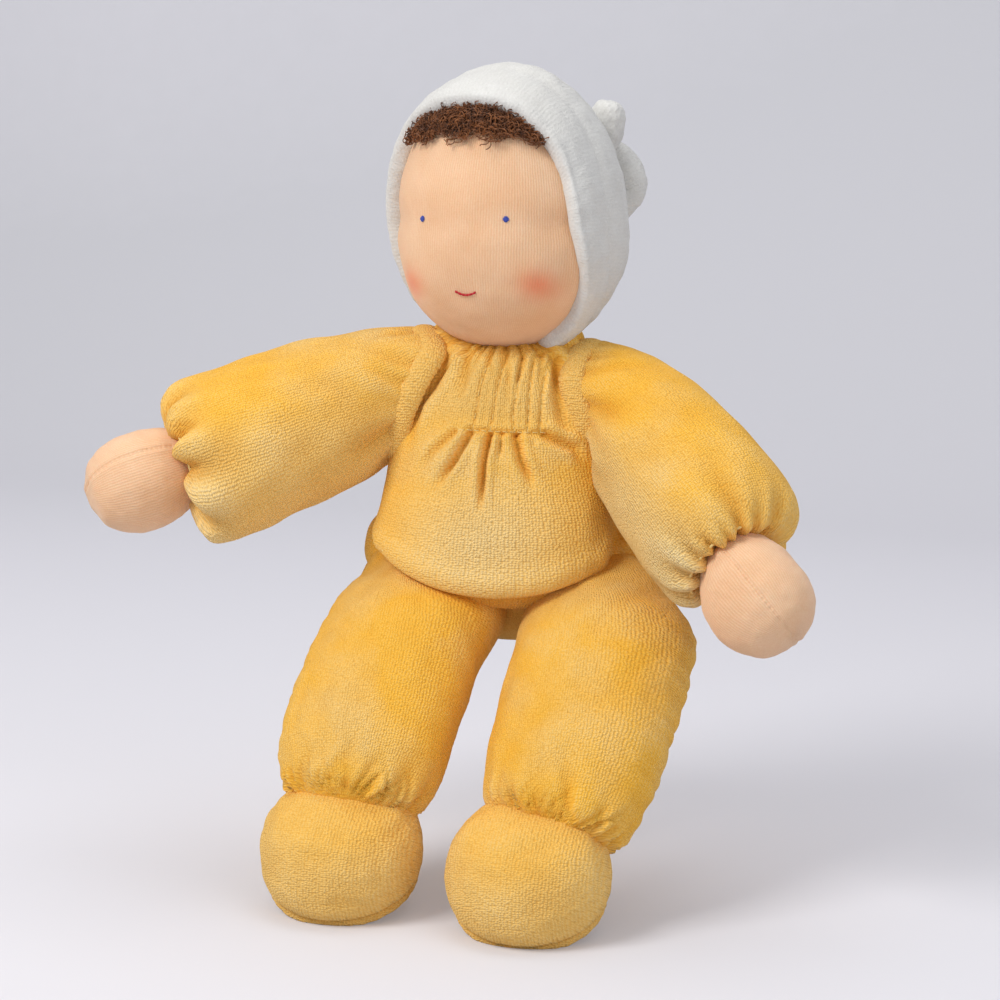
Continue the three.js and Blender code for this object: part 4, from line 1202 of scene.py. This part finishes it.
class DollColours(bpy.types.PropertyGroup):
    """Colours of the doll's cloth, yarn and thread"""

    velour: tone("Velour", "Middle tone of the suit", "#f8bd47")
    velour_deep: tone("Velour, deep", "Down in the pile", "#e9a431")
    velour_pale: tone("Velour, pale", "Tips of the pile", "#fbd27d")
    # The next three tones are the paler pile: where it is brushed up, and as painted sheen on faces turned from
    # the key lamp.
    ruffled_and_sheen: tone("Ruffled velour", "Middle tone where the pile stands up", "#ffdc96")
    ruffled_and_sheen_deep: tone("Ruffled, deep", "Between the tufts", "#e8b766")
    ruffled_and_sheen_pale: tone("Ruffled, pale", "Tips of the tufts", "#ffe9ba")
    skin: tone("Skin", "Middle tone of the tricot", "#ecbe95")
    skin_deep: tone("Skin, deep", "Between the wales", "#dda678")
    skin_pale: tone("Skin, pale", "On the wales", "#fbdcbc")
    blush: tone("Blush", "Colour rubbed on the cheeks", "#ef8a62")
    hood: tone("Hood", "Middle tone of the hood", "#e7e6e2")
    hood_shade: tone("Hood, shade", "Between the ribs", "#d6d4cf")
    hood_light: tone("Hood, light", "Tips of the down", "#f2f1ee")
    # The hair's light tone is painted highlight on the brown yarn.
    hair: tone("Hair", "Light tone of the hair", "#9c5e2d")
    hair_deep: tone("Hair, deep", "Dark tone of the hair", "#472510")
    eyes: tone("Eyes", "Eye thread", "#4a5cc0")
    eyes_deep: tone("Eyes, deep", "In the eye thread's grooves", "#273a86")
    mouth: tone("Mouth", "Mouth thread", "#e01f30")
    mouth_deep: tone("Mouth, deep", "In the mouth thread's grooves", "#8d1520")
    thread: tone("Thread", "Sewing thread", "#f4c52c")
    thread_deep: tone("Thread, deep", "In the sewing thread's grooves", "#b98a1e")


# Stage

# These tones are painted light: the paper's tone changes along the sweep, from the front of the floor to the
# top of the back, and a little from side to side.
FLOOR_TONES = [(0.0, "#d3d2d7"), (0.5, "#cfced4"), (0.85, "#c9c9ce"), (0.97, "#d9d8de")]
LAMPS = [  # name, place, size, power, colour
    ("key", (-0.85, -1.0, 1.15), (0.7, 0.7), 18.2, (1.0, 0.985, 0.96)),
    ("fill", (1.3, -0.9, 0.6), (1.2, 1.2), 5.4, (0.95, 0.97, 1.0)),
    ("top", (0.1, 0.3, 1.5), (1.4, 1.0), 7.5, (1.0, 1.0, 1.0)),
]
LAMPS_AIM = (0, -0.02, 0.06)
FLOOR_GLOW = 0.22


def build_sweep():
    """Matt paper that runs level under the doll and curves up behind it."""
    curve = [(0.9 + 0.6 * math.sin(a), 0.6 - 0.6 * math.cos(a)) for a in np.linspace(0, math.pi / 2, 16)]
    steps = [(-2.0, 0.0), *curve, (1.5, 2.6)]
    points = [(x, y * 1000, FLOOR + z * 1000) for y, z in steps for x in (-2600, 2600)]
    faces = [(i, i + 1, i + 3, i + 2) for i in range(0, 2 * len(steps) - 2, 2)]
    floor = new_object("sweep", points, faces)
    material, tree, place, shader = blank("paper_sweep")
    apart = add(tree, "SeparateXYZ", [place]).node.outputs
    # Painted light: the tone follows the place on the paper, from front to back and from side to side.
    back = add(tree, "MapRange", [apart[1], -0.2, 1.6])
    aside = add(tree, "MapRange", [apart[0], -0.7, 0.7, 0.12, 0.0])
    mottle = add(tree, "TexNoise", {"Vector": place, "Scale": 40.0, "Detail": 2.0})
    shade = weighed(tree, aside, (back, 0.85), (mottle, 0.02))
    colour = add(tree, "ValToRGB", [shade], [(at, linear(code)) for at, code in FLOOR_TONES])
    finish(shader, colour, Roughness=0.9, Specular_IOR_Level=0.1)
    # A little glow that only the camera, gloss and glass see lifts the background and lights nothing.
    seen = add(tree, "LightPath").node.outputs
    rays = [(seen[f"Is {kind} Ray"], FLOOR_GLOW) for kind in ("Camera", "Glossy", "Transmission")]
    tree.links.new(colour, shader.inputs["Emission Color"])
    tree.links.new(weighed(tree, 0.0, *rays), shader.inputs["Emission Strength"])
    floor.data.materials.append(material)


def build_lights(scene):
    for name, at, size, power, colour in LAMPS:
        light = bpy.data.lights.new(name, "AREA")
        light.shape = "RECTANGLE"
        light.size, light.size_y = size
        light.energy = power
        light.color = colour
        obj = bpy.data.objects.new(name, light)
        obj.location = at
        obj.rotation_euler = (Vector(LAMPS_AIM) - Vector(at)).to_track_quat("-Z", "Y").to_euler()
        scene.collection.objects.link(obj)
    world = bpy.data.worlds.new("room")
    world.use_nodes = True
    background = world.node_tree.nodes["Background"]
    background.inputs[0].default_value = (0.9, 0.91, 0.95, 1)
    background.inputs[1].default_value = 0.42
    scene.world = world
    scene.view_settings.view_transform = "Standard"


def build_camera(scene):
    camera = bpy.data.cameras.new("camera")
    camera.lens = 90
    camera.sensor_width = 36
    camera.clip_start = 0.05
    obj = bpy.data.objects.new("camera", camera)
    yaw, pitch, roll = math.radians(12), math.radians(-8.6), math.radians(1.3)
    look = Matrix.Rotation(yaw, 3, "Z") @ Matrix.Rotation(math.pi / 2 + pitch, 3, "X")
    look = look @ Matrix.Rotation(roll, 3, "Z")
    obj.matrix_world = Matrix.Translation((0.2069, -0.9905, 0.2077)) @ look.to_4x4()
    scene.collection.objects.link(obj)
    scene.camera = obj


# Operators

class MakeStage(bpy.types.Operator):
    """Sets the floor, the lamps and the camera"""

    bl_idname = "doll.make_stage"
    bl_label = "Stage"

    def execute(self, context):
        build_sweep()
        build_lights(context.scene)
        build_camera(context.scene)
        return {"FINISHED"}


class MakeBody(bpy.types.Operator):
    """Builds the trunk with its tucks, pleats, stitches and gathered collar"""

    bl_idname = "doll.make_body"
    bl_label = "Body"

    def execute(self, context):
        build_body()
        return {"FINISHED"}


class MakeArms(bpy.types.Operator):
    """Builds the armhole seams, sleeves and hands"""

    bl_idname = "doll.make_arms"
    bl_label = "Arms"

    def execute(self, context):
        for side, out in SIDES:
            build_armhole(side, out)
            build_sleeve(side, out)
            build_hand(side, out)
        return {"FINISHED"}


class MakeLegs(bpy.types.Operator):
    """Builds the legs and feet"""

    bl_idname = "doll.make_legs"
    bl_label = "Legs"

    def execute(self, context):
        for side, out in SIDES:
            build_leg(side, out)
            build_foot(side, out)
        return {"FINISHED"}


class MakeHead(bpy.types.Operator):
    """Builds the head, neck, face and hair"""

    bl_idname = "doll.make_head"
    bl_label = "Head"

    def execute(self, context):
        build_head()
        build_neck()
        build_face()
        build_hair()
        ring = turns(73, True)
        path = columns(-2 + 16 * np.cos(ring), NECK_Y + 16 * np.sin(ring), 107.0)
        thread("neck_tie", [path], 0.7, "neck", "neck_tie_thread")
        return {"FINISHED"}


class MakeHood(bpy.types.Operator):
    """Builds the hood with its knot"""

    bl_idname = "doll.make_hood"
    bl_label = "Hood"

    def execute(self, context):
        build_hood()
        middle = [(24, 58, 32), (28, 63, 20), (27, 60, 6)]
        build_knot("knot_lobe", "hood_knot", KNOT_LOBE, 0.72, 2.2,
                   lambda p: crease(p, middle, 1.6, 1.8, 0.4) + 0.4 * waves(p, 14, 83))
        build_knot("knot_end", "hood_tail", KNOT_END, 0.85, 1.6, lambda p: 0.5 * waves(p, 7, 84))
        return {"FINISHED"}


class DollPanel(bpy.types.Panel):
    """Builds the doll piece by piece"""

    bl_idname = "VIEW3D_PT_doll"
    bl_label = "Soft doll"
    bl_space_type = "VIEW_3D"
    bl_region_type = "UI"
    bl_category = "Doll"

    def draw(self, context):
        for group in (context.scene.doll_sizes, context.scene.doll_colours):
            for key in group.__annotations__:
                self.layout.prop(group, key)
        for operator in OPERATORS:
            self.layout.operator(operator.bl_idname)


OPERATORS = (MakeStage, MakeBody, MakeArms, MakeLegs, MakeHead, MakeHood)
CLASSES = (DollSizes, DollColours, *OPERATORS, DollPanel)


def register():
    for cls in CLASSES:
        bpy.utils.register_class(cls)
    bpy.types.Scene.doll_sizes = bpy.props.PointerProperty(type=DollSizes)
    bpy.types.Scene.doll_colours = bpy.props.PointerProperty(type=DollColours)


def unregister():
    del bpy.types.Scene.doll_colours
    del bpy.types.Scene.doll_sizes
    for cls in reversed(CLASSES):
        bpy.utils.unregister_class(cls)


def main():
    register()
    bpy.ops.doll.make_stage()
    bpy.ops.doll.make_body()
    bpy.ops.doll.make_arms()
    bpy.ops.doll.make_legs()
    bpy.ops.doll.make_head()
    bpy.ops.doll.make_hood()


if __name__ == "__main__":
    main()
